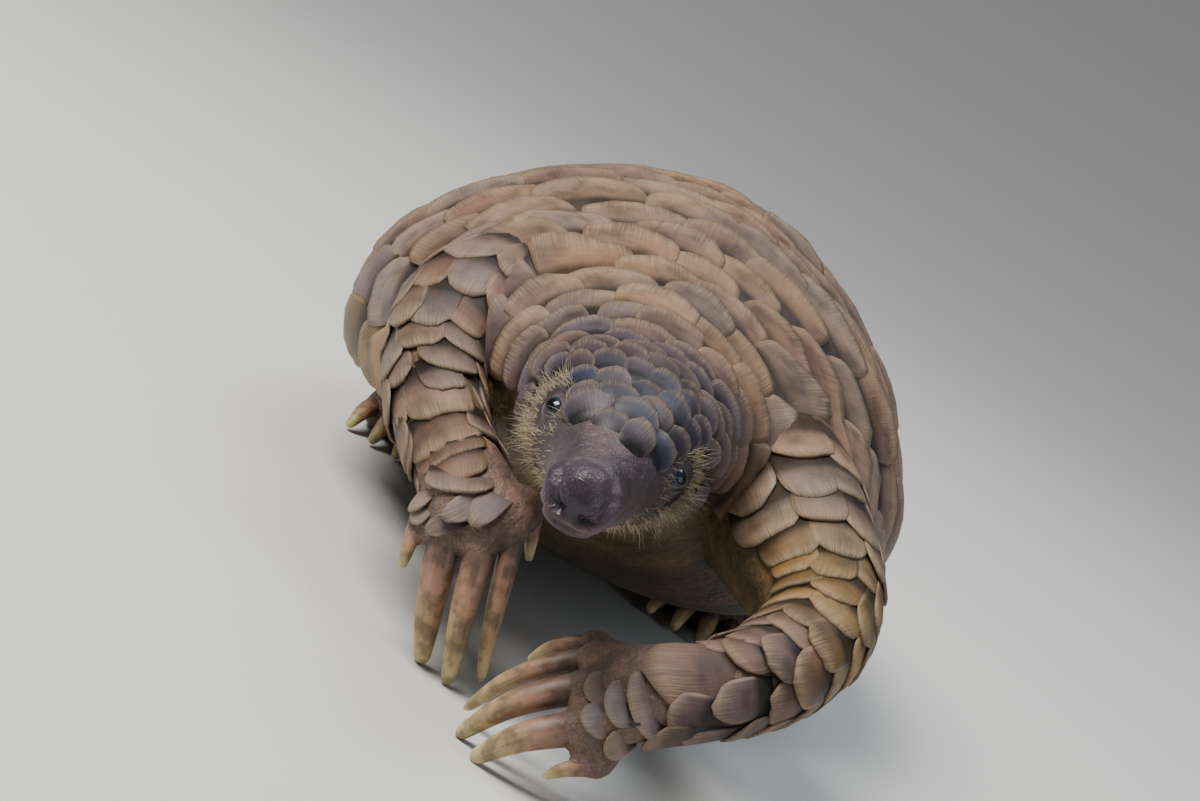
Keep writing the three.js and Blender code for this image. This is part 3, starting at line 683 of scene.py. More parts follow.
def give_colour(mesh, name, colours):
    """Stores a colour for each point under a name that the material reads."""
    attribute = mesh.attributes.new(name, "FLOAT_COLOR", "POINT")
    rgba = np.concatenate([colours, np.ones((len(colours), 1))], axis=1)
    attribute.data.foreach_set("color", rgba.ravel())


model_points = (points_of(skin.data) - MODEL_ORIGIN) * 1000
hues = skin_hues(model_points)
for leg in FORELEGS.values():
    knuckles = np.array(leg["line"][-1][:3])
    near_hand = np.exp(-((np.linalg.norm(model_points - knuckles, axis=1) / 30) ** 4))
    hues = mixed(hues, HAND_HUE, near_hand)
give_colour(skin.data, "hue", hues)
wet = np.exp(-((np.linalg.norm(model_points - [0, -46, EYE_HEIGHT - 8], axis=1) / 9.5) ** 4))
wet = np.maximum(wet, 0.4 * (1 - ease(-26, -8, model_points[:, 1])))
give_colour(skin.data, "wet", np.stack([wet, wet, wet], axis=-1))


def node(tree, kind, values=None, **settings):
    """A shader node with its properties set, then the values of its sockets."""
    made = tree.nodes.new(kind)
    for key, value in settings.items():
        setattr(made, key, value)
    for key, value in (values or {}).items():
        made.inputs[key].default_value = value
    return made


def noise(tree, scale, detail, roughness=0.5):
    """Soft noise with as many cells to the unit as its scale."""
    return node(tree, "ShaderNodeTexNoise", {"Scale": scale, "Detail": detail, "Roughness": roughness})


def times(tree, factor):
    """One colour multiplied by another, as strongly as the factor."""
    return node(tree, "ShaderNodeMix", {"Factor": factor}, data_type="RGBA", blend_type="MULTIPLY")


def relief_of(tree, strength, depth):
    """Bumps of a depth in metres."""
    return node(tree, "ShaderNodeBump", {"Strength": strength, "Distance": depth})


def linked(tree, *pairs):
    """Links each output to its input."""
    for output, target in pairs:
        tree.links.new(output, target)


def ramp(tree, stops):
    """A colour ramp from a list of (place, value) stops: a value is a grey or three shares."""
    made = tree.nodes.new("ShaderNodeValToRGB")
    elements = made.color_ramp.elements
    while len(elements) < len(stops):
        elements.new(0.5)
    for element, (place, value) in zip(elements, stops):
        element.position = place
        element.color = (*np.broadcast_to(value, 3), 1)
    return made


def skin_material():
    """Fine folds from stretched cells over soft noise, darker in the creases at the cells' edges as
    painted shade, wet at the nose.
    """
    material, tree, surface = painted("hide")
    place = node(tree, "ShaderNodeTexCoord").outputs["Object"]
    hue = node(tree, "ShaderNodeAttribute", attribute_name="hue")
    wetness = node(tree, "ShaderNodeAttribute", attribute_name="wet")
    cells = node(tree, "ShaderNodeTexVoronoi", {"Scale": 900, "Randomness": 1}, feature="DISTANCE_TO_EDGE")
    folds = noise(tree, 380, 6)
    blotch = noise(tree, 80, 7, 0.62)
    # Painted shade: the skin is darkened along the cells' edges, in the creases where shade would fall.
    painted_crease_shade = ramp(tree, [(0.0, 0.45), (0.16, 0.9), (1.0, 1.1)])
    patch = ramp(tree, [(0.34, (0.5, 0.52, 0.58)), (0.5, 0.94), (0.66, (1.75, 1.5, 1.42))])
    first = times(tree, 0.55)
    second = times(tree, 0.9)
    bump_cells = relief_of(tree, 0.5, 0.0004)
    bump_folds = relief_of(tree, 0.8, 0.0016)
    gloss = node(tree, "ShaderNodeMapRange", {"To Min": 0.55, "To Max": 0.24})
    calm = node(tree, "ShaderNodeMapRange", {"To Min": 1.0, "To Max": 0.16})
    relief = node(tree, "ShaderNodeMath", operation="MULTIPLY")
    surface.inputs["Specular IOR Level"].default_value = 0.32
    linked(
        tree,
        (wetness.outputs["Fac"], calm.inputs["Value"]),
        (folds.outputs["Fac"], relief.inputs[0]),
        (calm.outputs["Result"], relief.inputs[1]),
        (relief.outputs["Value"], bump_folds.inputs["Height"]),
        (place, cells.inputs["Vector"]),
        (place, folds.inputs["Vector"]),
        (place, blotch.inputs["Vector"]),
        (cells.outputs["Distance"], painted_crease_shade.inputs["Fac"]),
        (blotch.outputs["Fac"], patch.inputs["Fac"]),
        (hue.outputs["Color"], first.inputs["A"]),
        (painted_crease_shade.outputs["Color"], first.inputs["B"]),
        (first.outputs["Result"], second.inputs["A"]),
        (patch.outputs["Color"], second.inputs["B"]),
        (second.outputs["Result"], surface.inputs["Base Color"]),
        (cells.outputs["Distance"], bump_cells.inputs["Height"]),
        (bump_folds.outputs["Normal"], bump_cells.inputs["Normal"]),
        (bump_cells.outputs["Normal"], surface.inputs["Normal"]),
        (wetness.outputs["Fac"], gloss.inputs["Value"]),
        (gloss.outputs["Result"], surface.inputs["Roughness"]),
    )
    return material


skin.data.materials.append(skin_material())
flesh = ["head", "neck", "torso_front", "torso_rear", "tail_base", "tail_middle", "tail_end"]
for side in ("left", "right"):
    flesh += [f"foreleg_{side}_upper", f"foreleg_{side}_lower", f"forefoot_{side}"]
    flesh += [f"hindleg_{side}", f"hindfoot_{side}"]
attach(skin, "root")
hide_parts(*flesh)

# The scales. Each is a flat horn plate that grows from the skin at its front edge and lies over the
# roots of the two behind it, in rings set half a scale round. It is ridged along its length, and its
# free edge is worn thin and pale.
PLATE_STEPS = np.array([0, 0.4, 0.68, 0.88, 1.0])  # the covered root is one long step
PLATE_COLUMNS = 6
PLATE_TURN = 0.92  # how much of a half turn the columns' places take, closer together at the sides
chance = np.random.default_rng(17)


def plate_grid():
    """Shares along and across a plate: p from root to tip, q from side to side as a sine."""
    turn = np.linspace(-1, 1, PLATE_COLUMNS + 1) * math.pi / 2 * PLATE_TURN
    return np.meshgrid(PLATE_STEPS, np.sin(turn) / math.sin(math.pi / 2 * PLATE_TURN), indexing="ij")


def plate_outline(p, q, size, blunt):
    """One scale seen flat: x across and y along, from p = 0 at the root and q = -1 to 1 across.

    The sides are nearly straight and the free end is an arc, drawn back at its corners by one less
    blunt.
    """
    width, length = size
    x = q * width / 2 * (0.84 + 0.16 * np.sin(p * math.pi * 0.62)) * (1 - 0.10 * p**6)
    y = length * (p - (0.30 * (1 - blunt) + 0.05) * np.abs(q) ** 2.6 * p**2)
    return x, y


def above_floor(points):
    """Points with their heights pressed up off the floor, smoothly: the lower, the more."""
    height = points[..., 2] - 0.3
    points[..., 2] = 0.3 + (height + np.sqrt(height**2 + 1.6)) / 2
    return points


def no_push(points):
    """Scales that lie on nothing but their own body."""
    return np.zeros_like(points)


def scale_plates(section, roots, push):
    """Every scale of a field as one array of points: (scale, side, row, column, xyz).

    A plate is laid on the swept body by its arc length and angle, rises steadily from root to tip,
    is a little domed across, and thins to its edges.
    """
    p, q = plate_grid()
    pick = {key: value[:, None, None] for key, value in roots.items()}
    x, y = plate_outline(p, q, (pick["width"], pick["length"]), pick["blunt"])
    worn = 0.022 * np.sin(q * 4.1 + pick["random"] * 60) + 0.02 * np.sin(q * 9 + pick["random"] * 190)
    y = y * (1 + worn * p**5)
    c = np.cos(pick["turn"])
    n = np.sin(pick["turn"])
    s = pick["s"] + y * c - x * n
    angle = pick["angle"] + (x * c + y * n) / pick["reach"]
    rise = pick["base"] + pick["slope"] * y
    rise = rise + pick["dome"] * pick["width"] * (1 - q**2) * (0.4 + 0.6 * p) * (1 - 0.55 * p**5)
    rise = rise + pick["tip"] * p**3
    thick = pick["thick"] * (1 - 0.72 * q**4) * (1 - 0.62 * p**4)
    top = on_surface(section, s, angle, rise)
    bottom = on_surface(section, s, angle, rise - thick)
    shift = push(on_surface(section, s, angle, 0))
    return above_floor(np.stack([top + shift, bottom + shift], axis=1)), p, q


def plate_faces():
    """Faces of one plate: its top, its underside turned over, and the rim that joins them."""
    rows, columns = len(PLATE_STEPS), PLATE_COLUMNS + 1
    i, j = np.meshgrid(np.arange(rows - 1), np.arange(columns - 1), indexing="ij")
    a = (i * columns + j).ravel()
    layer = rows * columns
    top = np.stack([a, a + columns, a + columns + 1, a + 1], axis=-1)
    under = top[:, ::-1] + layer
    front = np.arange(columns)
    right = np.arange(1, rows) * columns + columns - 1
    back = (rows - 1) * columns + np.arange(columns - 2, -1, -1)
    left = np.arange(rows - 2, 0, -1) * columns
    edge = np.concatenate([front, right, back, left])
    after = np.roll(edge, -1)
    rim = np.stack([edge, after, after + layer, edge + layer], axis=-1)
    return np.concatenate([top, under, rim])


COVERED = 5.0  # how much of a scale set one by one lies under the one before it


def set_scales(section, length, table):
    """Scales set one by one. Each row has the share of the limb's length where the scale ends, its
    angle and turn in degrees, and its width and length."""
    end, angle, turned, width, long = np.array(table, float).T
    count = len(end)
    s = end * length - long
    angle = np.radians(angle)
    return {
        "s": s,
        "angle": angle,
        "pitch": long / 1.7,
        "step": width / reach_of(section, s + long * 0.5, angle),
        "ring": np.arange(count),
        "index": np.zeros(count, int),
        "wide": np.ones(count),
        "length": long,
        "turn": np.radians(turned),
        "random": chance.uniform(0, 1, count),
        "shown": 1 - COVERED / long,
        "sunk": np.interp(long, [14, 30], [0.25, 1.1]),
    }


def with_set_scales(field, own, bare):
    """A ring field with its scales taken out where others are set, or where the skin is bare."""
    middle = field["s"] + field["length"] * 0.65
    free = np.full(len(middle), True)
    for k in range(len(own["s"])):
        beside = np.abs(field["angle"] - own["angle"][k]) < own["step"][k] * 0.5 + 0.16
        past_root = middle > own["s"][k] + min(0.46 * own["length"][k], 9.5)
        free &= ~(beside & past_root & (middle < own["s"][k] + 1.02 * own["length"][k]))
    for start, end, low, high in bare:
        free &= ~((middle > start) & (middle < end) & (field["angle"] > low) & (field["angle"] < high))
    own = dict(own)
    own["ring"] = own["ring"] + field["ring"].max() + 1
    return {key: np.concatenate([value[free], own[key]]) for key, value in field.items()}


skin_tree = BVHTree.FromPolygons(
    ((points_of(skin.data) - MODEL_ORIGIN) * 1000).tolist(),
    [tuple(face.vertices) for face in skin.data.polygons],
)


COVERED_ON_SKIN = 3  # how much of such a scale lies under the one before it
ABOVE_SKIN = 12
DEEPEST = -1.2


def lay_on_skin(name, table, hue):
    """Scales set one by one on the hands and the tail's tip, where no ring runs.

    Each row has the two points between which the scale shows and its width. The flat plate is
    dropped on the skin along the skin's normal at its middle, bends as the nearest second-degree
    surface to the skin there, and rises from its root to its tip.
    """
    table = np.array(table, float)
    count = len(table)
    p, q = plate_grid()
    points = np.empty((count, 2, *p.shape, 3))
    long = np.linalg.norm(table[:, 3:6] - table[:, :3], axis=1) + COVERED_ON_SKIN
    for k, row in enumerate(table):
        axis = unit(row[3:6] - row[:3])
        _, normal, _, _ = skin_tree.find_nearest(tuple((row[:3] + row[3:6]) / 2))
        across = unit(np.cross(axis, normal))
        up = np.cross(across, axis)
        x, y = plate_outline(p, q, (row[6], long[k]), 0.3)
        flat = row[:3] + axis * (y - COVERED_ON_SKIN)[..., None] + across * x[..., None]
        drop = np.zeros(p.shape)
        for at in np.ndindex(p.shape):
            hit, _, _, far = skin_tree.ray_cast(tuple(flat[at] + up * ABOVE_SKIN), tuple(-up))
            drop[at] = DEEPEST if hit is None else max(ABOVE_SKIN - far, DEEPEST)
        x, y_flat = x.ravel(), y.ravel()
        bend = np.stack([np.ones(x.size), x, y_flat, x**2, y_flat**2], axis=-1)
        drop = (bend @ np.linalg.lstsq(bend, drop.ravel(), rcond=None)[0]).reshape(p.shape)
        rise = drop + 0.12 * y - 1.3 * (1 - p) ** 2 + 0.04 * row[6] * (1 - q**2) * p
        thick = 1.7 * (1 - 0.7 * q**4) * (1 - 0.5 * p**4)
        points[k, 0] = flat + up * rise[..., None]
        points[k, 1] = flat + up * (rise - thick)[..., None]
    field = {
        "length": long,
        "width": table[:, 6],
        "shown": 1 - COVERED_ON_SKIN / long,
        "random": chance.uniform(0, 1, count),
        "ring": np.arange(count),
        "index": np.zeros(count, int),
    }
    hues = np.broadcast_to(np.array(hue), (count, 3))
    scale_piece(name, above_floor(points), p, q, field, hues, 1.0, 0.1)


def girth(section, s, cover):
    """The surface's length across its top between minus cover and cover, at arc length s."""
    angle = np.linspace(-cover, cover, 80)
    across = on_surface(section, np.full(80, float(s)), angle, 0)
    return np.linalg.norm(np.diff(across, axis=0), axis=1).sum()


def scale_field(section, rings, width, cover, pitch, long=1.75):
    """Roots of a field of scales in rings: arc length, angle, size and small seeded differences.

    Each ring takes the count of scales nearest to the girth over the width, odd and even by turns,
    so that every scale stands between two of the ring before.
    """
    rows = {"s": [], "angle": [], "pitch": [], "step": [], "ring": [], "index": []}
    for number, s in enumerate(rings):
        wanted = girth(section, s, cover(s)) / width(s)
        if cover(s) >= math.pi - 1e-6:
            count = max(2 * round(wanted / 2), 4)
            shift = number % 2 / 2
        else:
            parity = number % 2
            count = max(2 * round((wanted - parity) / 2) + parity, 1)
            shift = 0.5
        step = 2 * cover(s) / count
        rows["s"].append(np.full(count, s))
        rows["angle"].append(-cover(s) + step * (np.arange(count) + shift))
        rows["pitch"].append(np.full(count, pitch(s)))
        rows["step"].append(np.full(count, step))
        rows["ring"].append(np.full(count, number))
        rows["index"].append(np.arange(count))
    field = {key: np.concatenate(value) for key, value in rows.items()}
    count = len(field["s"])
    field["s"] = field["s"] + chance.normal(0, 0.06, count) * field["pitch"]
    field["angle"] = field["angle"] + chance.normal(0, 0.04, count) * field["step"]
    field["wide"] = chance.uniform(1.08, 1.32, count)
    field["length"] = long * field["pitch"] * chance.uniform(0.86, 1.16, count)
    field["turn"] = chance.normal(0, 0.085, count)
    field["random"] = chance.uniform(0, 1, count)
    field["shown"] = np.full(count, 1 / long)
    field["sunk"] = np.zeros(count)
    return field


def reach_of(section, s, angle):
    """How far the surface runs for each radian of angle, at each scale's place."""
    sizes = section(s)[3]
    height = np.where(np.cos(angle) < 0, sizes[:, 2], sizes[:, 1])
    return np.sqrt((sizes[:, 0] * np.cos(angle)) ** 2 + (height * np.sin(angle)) ** 2)


def lay_scales(
    name, section, field, hue_of, slope, thick,
    base=-0.9, dome=0.03, blunt=0.5, tip=(-0.1, 0.4), wear=1.0, gloss=0.0, keep=None, push=no_push,
):
    """Makes one piece of scales from a field of them on a swept body."""
    field = dict(field)
    count = len(field["s"])
    field["reach"] = reach_of(section, field["s"] + field["length"] * 0.5, field["angle"])
    field["width"] = field["wide"] * field["step"] * field["reach"]
    field["slope"] = slope * chance.uniform(0.82, 1.2, count)
    field["thick"] = thick * chance.uniform(0.85, 1.2, count)
    field["base"] = base - field["sunk"] + chance.uniform(-0.25, 0.25, count)
    field["tip"] = chance.uniform(*tip, count)
    field["dome"] = dome * chance.uniform(0.7, 1.3, count)
    field["blunt"] = np.full(count, blunt) + chance.uniform(-0.15, 0.15, count)
    if keep is not None:
        kept = keep(on_surface(section, field["s"] + field["length"] * 0.6, field["angle"], 0))
        field = {key: value[kept] for key, value in field.items()}
    points, p, q = scale_plates(section, field, push)
    scale_piece(name, points, p, q, field, hue_of(field), wear, gloss)


SHOWN_IN_RINGS = 0.57  # the share of a ring's scales that shows, for which the horn's painted shade at the root, its worn edge and its ridges are set


def scale_piece(name, points, p, q, field, hue, wear, gloss):
    """One piece from the points of its scales: faces, colours, flat maps and the horn material."""
    count = len(points)
    size = points[0].size // 3
    faces = (plate_faces()[None] + np.arange(count)[:, None, None] * size).reshape(-1, 4)
    piece = new_piece(name, metres(points.reshape(-1, 3)), faces.tolist())
    cast = chance.uniform(-1, 1, (count, 1)) * np.array([[0.10, 0.0, -0.14]])
    hue = hue * (0.80 + 0.40 * field["random"])[:, None] * (1 + cast)
    each = np.repeat(hue, size, axis=0)
    p_all = np.broadcast_to(p, points.shape[:-1]).ravel()
    open_share = 1 - (1 - p_all) * SHOWN_IN_RINGS / np.repeat(field["shown"], size)
    q_all = np.broadcast_to(q, points.shape[:-1]).ravel()
    lot = np.repeat(field["random"], size)
    give_colour(piece.data, "hue", each)
    give_colour(piece.data, "plate", np.stack([open_share, q_all * 0.5 + 0.5, lot], axis=-1))
    lengthwise = p_all * np.repeat(field["length"], size)
    sideways = q_all * np.repeat(field["width"], size) / 2
    give_map(piece.data, "grain", np.stack([sideways + lot * 613, lengthwise + lot * 377], axis=-1))
    rings = field["ring"].max() + 1
    lanes = field["index"].max() + 1
    u = (np.repeat(field["index"], size) + 0.5 + 0.45 * q_all) / lanes
    v = (np.repeat(field["ring"], size) + 0.05 + 0.9 * p_all) / rings
    give_map(piece.data, "OFBake", np.stack([u, v], axis=-1))
    piece.data.materials.append(horn_material(name + "_horn", wear, gloss))
    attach(piece, "root")


def give_map(mesh, name, places):
    """Stores a flat map: each corner takes its point's place."""
    corners = np.empty(len(mesh.loops), int)
    mesh.loops.foreach_get("vertex_index", corners)
    flat = mesh.uv_layers.new(name=name)
    flat.data.foreach_set("uv", places[corners].ravel())


def horn_material(name, wear, polish):
    """Satin horn: fine ridges along the plate, strongest at its free end, faint bands across it, a
    dark root of painted shade under the edge of the plate before together with dirt in the seam, a
    pale worn edge, and stains and casts of colour that run on from plate to plate."""
    material, tree, surface = painted(name)
    smooth = {"interpolation_type": "SMOOTHSTEP"}
    place = node(tree, "ShaderNodeTexCoord").outputs["Object"]
    hue = node(tree, "ShaderNodeAttribute", attribute_name="hue")
    plate = node(tree, "ShaderNodeAttribute", attribute_name="plate")
    parts = node(tree, "ShaderNodeSeparateColor")
    grain = node(tree, "ShaderNodeUVMap", uv_map="grain")
    ridge_place = node(tree, "ShaderNodeMapping", {"Scale": (1.5, 0.035, 1)})
    ridges = noise(tree, 1.6, 4, 0.62)
    band_place = node(tree, "ShaderNodeMapping", {"Scale": (0.06, 0.55, 1)})
    bands = noise(tree, 1.0, 3)
    stain = noise(tree, 95, 6)
    edge_along = node(tree, "ShaderNodeMapRange", {"From Min": 0.68, "From Max": 1.0}, **smooth)
    centre = node(tree, "ShaderNodeMath", {1: 0.5}, operation="SUBTRACT")
    spread = node(tree, "ShaderNodeMath", operation="ABSOLUTE")
    across = {"From Min": 0.38, "From Max": 0.5, "To Max": 0.75}
    edge_across = node(tree, "ShaderNodeMapRange", across, **smooth)
    edge = node(tree, "ShaderNodeMath", operation="MAXIMUM")
    ragged = node(tree, "ShaderNodeMath", operation="MULTIPLY")
    worn = ramp(tree, [(0.42, 0.25), (0.66, 1.0)])
    pale = node(tree, "ShaderNodeMix", data_type="RGBA", blend_type="MIX")
    pale.inputs["B"].default_value = (0.36, 0.27, 0.175, 1)
    strength = node(tree, "ShaderNodeMath", {1: 0.62 * wear}, operation="MULTIPLY")
    streak = ramp(tree, [(0.30, 0.62), (0.52, 1.0), (0.75, 1.32)])
    streaked = times(tree, 0.38 - 0.2 * polish)
    banding = ramp(tree, [(0.35, 0.78), (0.65, 1.18)])
    banded = times(tree, 0.3)
    dirt = ramp(tree, [(0.36, 0.42), (0.5, 0.9), (0.64, 1.25)])
    dirty = times(tree, 0.75 - 0.3 * polish)
    bump = relief_of(tree, 0.8 - 0.6 * polish, 0.0005)
    bump_bands = relief_of(tree, 0.14, 0.0004)
    free_end = {"From Min": 0.55, "From Max": 0.95, "To Min": 0.25, "To Max": 1.0}
    comb = node(tree, "ShaderNodeMapRange", free_end, **smooth)
    combed = node(tree, "ShaderNodeMath", operation="MULTIPLY")
    cast = noise(tree, 30, 3)
    warm = ramp(tree, [(0.36, (0.86, 0.80, 0.90)), (0.5, 1.0), (0.64, (1.24, 1.16, 0.98))])
    casting = times(tree, 1.0 - 0.7 * polish)
    gloss = node(tree, "ShaderNodeMapRange", {"To Min": 0.38 - 0.2 * polish, "To Max": 0.62 - 0.4 * polish})
    surface.inputs["Specular IOR Level"].default_value = 0.24 + 0.1 * polish
    # Painted shade: each plate is darkened where it comes out from under the edge of the plate before, as
    # that edge's shadow would fall, together with dirt in the seam.
    root_shade_and_dirt_ramp = ramp(tree, [(0.40, 0.18), (0.53, 0.72), (0.72, 1.04)])
    root_shade_and_dirt = times(tree, 1.0)
    linked(
        tree,
        (parts.outputs["Red"], root_shade_and_dirt_ramp.inputs["Fac"]),
        (pale.outputs["Result"], root_shade_and_dirt.inputs["A"]),
        (root_shade_and_dirt_ramp.outputs["Color"], root_shade_and_dirt.inputs["B"]),
        (root_shade_and_dirt.outputs["Result"], surface.inputs["Base Color"]),
        (plate.outputs["Color"], parts.inputs["Color"]),
        (grain.outputs["UV"], ridge_place.inputs["Vector"]),
        (ridge_place.outputs["Vector"], ridges.inputs["Vector"]),
        (grain.outputs["UV"], band_place.inputs["Vector"]),
        (band_place.outputs["Vector"], bands.inputs["Vector"]),
        (place, stain.inputs["Vector"]),
        (parts.outputs["Red"], edge_along.inputs["Value"]),
        (parts.outputs["Green"], centre.inputs[0]),
        (centre.outputs["Value"], spread.inputs[0]),
        (spread.outputs["Value"], edge_across.inputs["Value"]),
        (edge_along.outputs["Result"], edge.inputs[0]),
        (edge_across.outputs["Result"], edge.inputs[1]),
        (ridges.outputs["Fac"], worn.inputs["Fac"]),
        (edge.outputs["Value"], ragged.inputs[0]),
        (worn.outputs["Color"], ragged.inputs[1]),
        (ragged.outputs["Value"], strength.inputs[0]),
        (ridges.outputs["Fac"], streak.inputs["Fac"]),
        (hue.outputs["Color"], streaked.inputs["A"]),
        (streak.outputs["Color"], streaked.inputs["B"]),
        (bands.outputs["Fac"], banding.inputs["Fac"]),
        (streaked.outputs["Result"], banded.inputs["A"]),
        (banding.outputs["Color"], banded.inputs["B"]),
        (stain.outputs["Fac"], dirt.inputs["Fac"]),
        (banded.outputs["Result"], dirty.inputs["A"]),
        (dirt.outputs["Color"], dirty.inputs["B"]),
        (place, cast.inputs["Vector"]),
        (cast.outputs["Fac"], warm.inputs["Fac"]),
        (dirty.outputs["Result"], casting.inputs["A"]),
        (warm.outputs["Color"], casting.inputs["B"]),
        (casting.outputs["Result"], pale.inputs["A"]),
        (strength.outputs["Value"], pale.inputs["Factor"]),
        (bands.outputs["Fac"], bump_bands.inputs["Height"]),
        (parts.outputs["Red"], comb.inputs["Value"]),
        (ridges.outputs["Fac"], combed.inputs[0]),
        (comb.outputs["Result"], combed.inputs[1]),
        (combed.outputs["Value"], bump.inputs["Height"]),
        (bump_bands.outputs["Normal"], bump.inputs["Normal"]),
        (bump.outputs["Normal"], surface.inputs["Normal"]),
        (stain.outputs["Fac"], gloss.inputs["Value"]),
        (gloss.outputs["Result"], surface.inputs["Roughness"]),
    )
    return material


CROWN_HUE = (0.030, 0.031, 0.052)
RUBBED_HUE = (0.056, 0.042, 0.045)
NAPE_HUE = (0.076, 0.054, 0.061)
BACK_HUE = (0.165, 0.108, 0.078)
FLANK_HUE = (0.170, 0.122, 0.105)
LOW_HUE = (0.150, 0.098, 0.028)
TAIL_HUE = (0.150, 0.098, 0.058)


def body_hues(field):
    """Crown blue-grey, nape purple-grey, back warm grey-brown, flanks paler, lowest rows ochre."""
    s = field["s"]
    low = np.abs(field["angle"])
    hue = np.broadcast_to(np.array(CROWN_HUE), (len(s), 3)).copy()
    hue = mixed(hue, NAPE_HUE, ease(40, 66, s))
    hue = mixed(hue, BACK_HUE, ease(80, 112, s))
    hue = mixed(hue, FLANK_HUE, ease(90, 150, s) * ease(0.9, 1.5, low))
    hue = mixed(hue, LOW_HUE, ease(100, 140, s) * ease(1.55, 2.0, low) * (1 - ease(380, 430, s)))
    return mixed(hue, TAIL_HUE, 0.8 * ease(380, 480, s))


def crown_hues(field):
    """The same, with a third of the crown's scales browner, as where the blue bloom is rubbed off."""
    hue = body_hues(field)
    rubbed = ease(0.62, 0.72, field["random"]) * (1 - ease(58, 76, field["s"]))
    return mixed(hue, RUBBED_HUE, 0.85 * rubbed)


def rings_between(start, end, pitch):
    """Ring places one pitch after another, from start to end."""
    places = [start]
    while places[-1] + pitch(places[-1]) < end:
        places.append(places[-1] + pitch(places[-1]))
    return places


def crown_cover(s):
    """How far round from the top the head's scales reach: above the eyes, then behind them."""
    return math.radians(float(np.interp(s, [24, 30, 40, 50, 58, 68, 84], [38, 60, 60, 62, 76, 88, 98])))


def crown_pitch(s):
    """The head's scales show about 6 mm each at the front and 10 mm at the nape."""
    return float(np.interp(s, [24, 45, 62, 84], [6.2, 7.0, 8.6, 10.2]))


def crown_width(s):
    """They are 7 mm broad at the front and 12 mm at the nape."""
    return float(np.interp(s, [31, 60, 84], [7.4, 9.4, 12.0]))


LEG_LINES = [leg["line"] for leg in FORELEGS.values()]
for side, shift in HIND_STANCE.values():
    LEG_LINES.append(hind_line(side, shift)[0][:4])


def depth_in_legs(points):
    """How deep each point lies in the upper legs, taken as rows of balls, and which way is out."""
    deepest = np.full(len(points), -99.0)
    outward = np.zeros_like(points)
    for line in LEG_LINES:
        balls = through(line, np.linspace(0, 3, 40))
        apart = points[:, None] - balls[None, :, :3]
        away = np.linalg.norm(apart, axis=-1)
        depth = balls[None, :, 3:].mean(-1) - away
        nearest = depth.argmax(axis=1)
        row = np.arange(len(points))
        deeper = depth[row, nearest] > deepest
        deepest = np.where(deeper, depth[row, nearest], deepest)
        outward = np.where(deeper[:, None], apart[row, nearest] / away[row, nearest, None], outward)
    return deepest, outward


def outside_legs(points, slack=5.0):
    """True where a scale of the trunk isn't buried in the root of a leg."""
    return depth_in_legs(points)[0] < slack


def over_shoulders(points):
    """Lifts the trunk's scales a little over the edges of the legs' roots."""
    flat = points.reshape(-1, 3)
    depth, outward = depth_in_legs(flat)
    lift = np.minimum(np.logaddexp(0, (depth + 0.5) / 1.5) * 1.5, 5)
    return (outward * lift[:, None]).reshape(points.shape)


def outside_trunk(points, slack=0.90):
    """True where a scale of a leg stands outside the trunk's section at its own place along it."""
    s = np.interp(points[:, 1], *trunk_course)
    centre, side, up, sizes, _ = spine(s)
    offset = points - centre
    x = (offset * side).sum(-1) / sizes[:, 0]
    z = (offset * up).sum(-1)
    z = z / np.where(z < 0, sizes[:, 2], sizes[:, 1])
    return np.abs(x) ** 2.1 + np.abs(z) ** 2.1 > slack


course = np.linspace(0, spine_length, 400)
trunk_course = (spine(course)[0][:, 1], course)
crown_rings = rings_between(CROWN_FRONT, NAPE, crown_pitch)
crown = scale_field(spine, crown_rings, crown_width, crown_cover, crown_pitch, 1.75)
lay_scales(
    "scales_crown", spine, crown, crown_hues, 0.18, 1.2,
    dome=0.07, blunt=0.2, tip=(0.0, 0.6), wear=0.7, gloss=0.35,
)


def trunk_pitch(s):
    """The trunk's scales show 11 mm behind the nape and 17 mm on the rump."""
    return float(np.interp(s, [84, 96, 112, 140, 215, 300, 390], [10.6, 12, 13.5, 14.5, 16.5, 17, 16]))


def trunk_width(s):
    """They are 14 mm broad behind the nape and 22 mm on the back."""
    return float(np.interp(s, [84, 96, 112, 140, 215, 300, 390], [13.6, 16, 18.5, 20.5, 21.5, 21.5, 19]))


def trunk_cover(s):
    """The trunk's scales reach to the edge of the belly."""
    return math.radians(float(np.interp(s, [84, 120, 215], [98, 106, 122])))


trunk_rings = rings_between(NAPE, TAIL_ROOT, trunk_pitch)
halfway = 2 * (len(trunk_rings) // 4)
for name, part in (("scales_shoulders", trunk_rings[:halfway]), ("scales_rump", trunk_rings[halfway:])):
    trunk = scale_field(spine, part, trunk_width, trunk_cover, trunk_pitch, 1.8)
    near_leg = ease(-18, 4, depth_in_legs(on_surface(spine, trunk["s"], trunk["angle"], 0))[0])
    trunk["turn"] = trunk["turn"] + np.sign(trunk["angle"]) * 0.5 * near_leg
    lay_scales(
        name, spine, trunk, body_hues, 0.13, 1.4,
        dome=0.025, blunt=0.7, keep=outside_legs, push=over_shoulders,
    )


def tail_pitch(s):
    """The tail's scales show 16 mm at its base and 7 mm at its tip."""
    return float(np.interp(s, [386, 600, 690, 730], [16, 14, 10, 6.5]))


def tail_width(s):
    """They narrow with the tail from 19 mm to 9 mm."""
    return float(np.interp(s, [386, 600, 720], [19, 16, 9]))


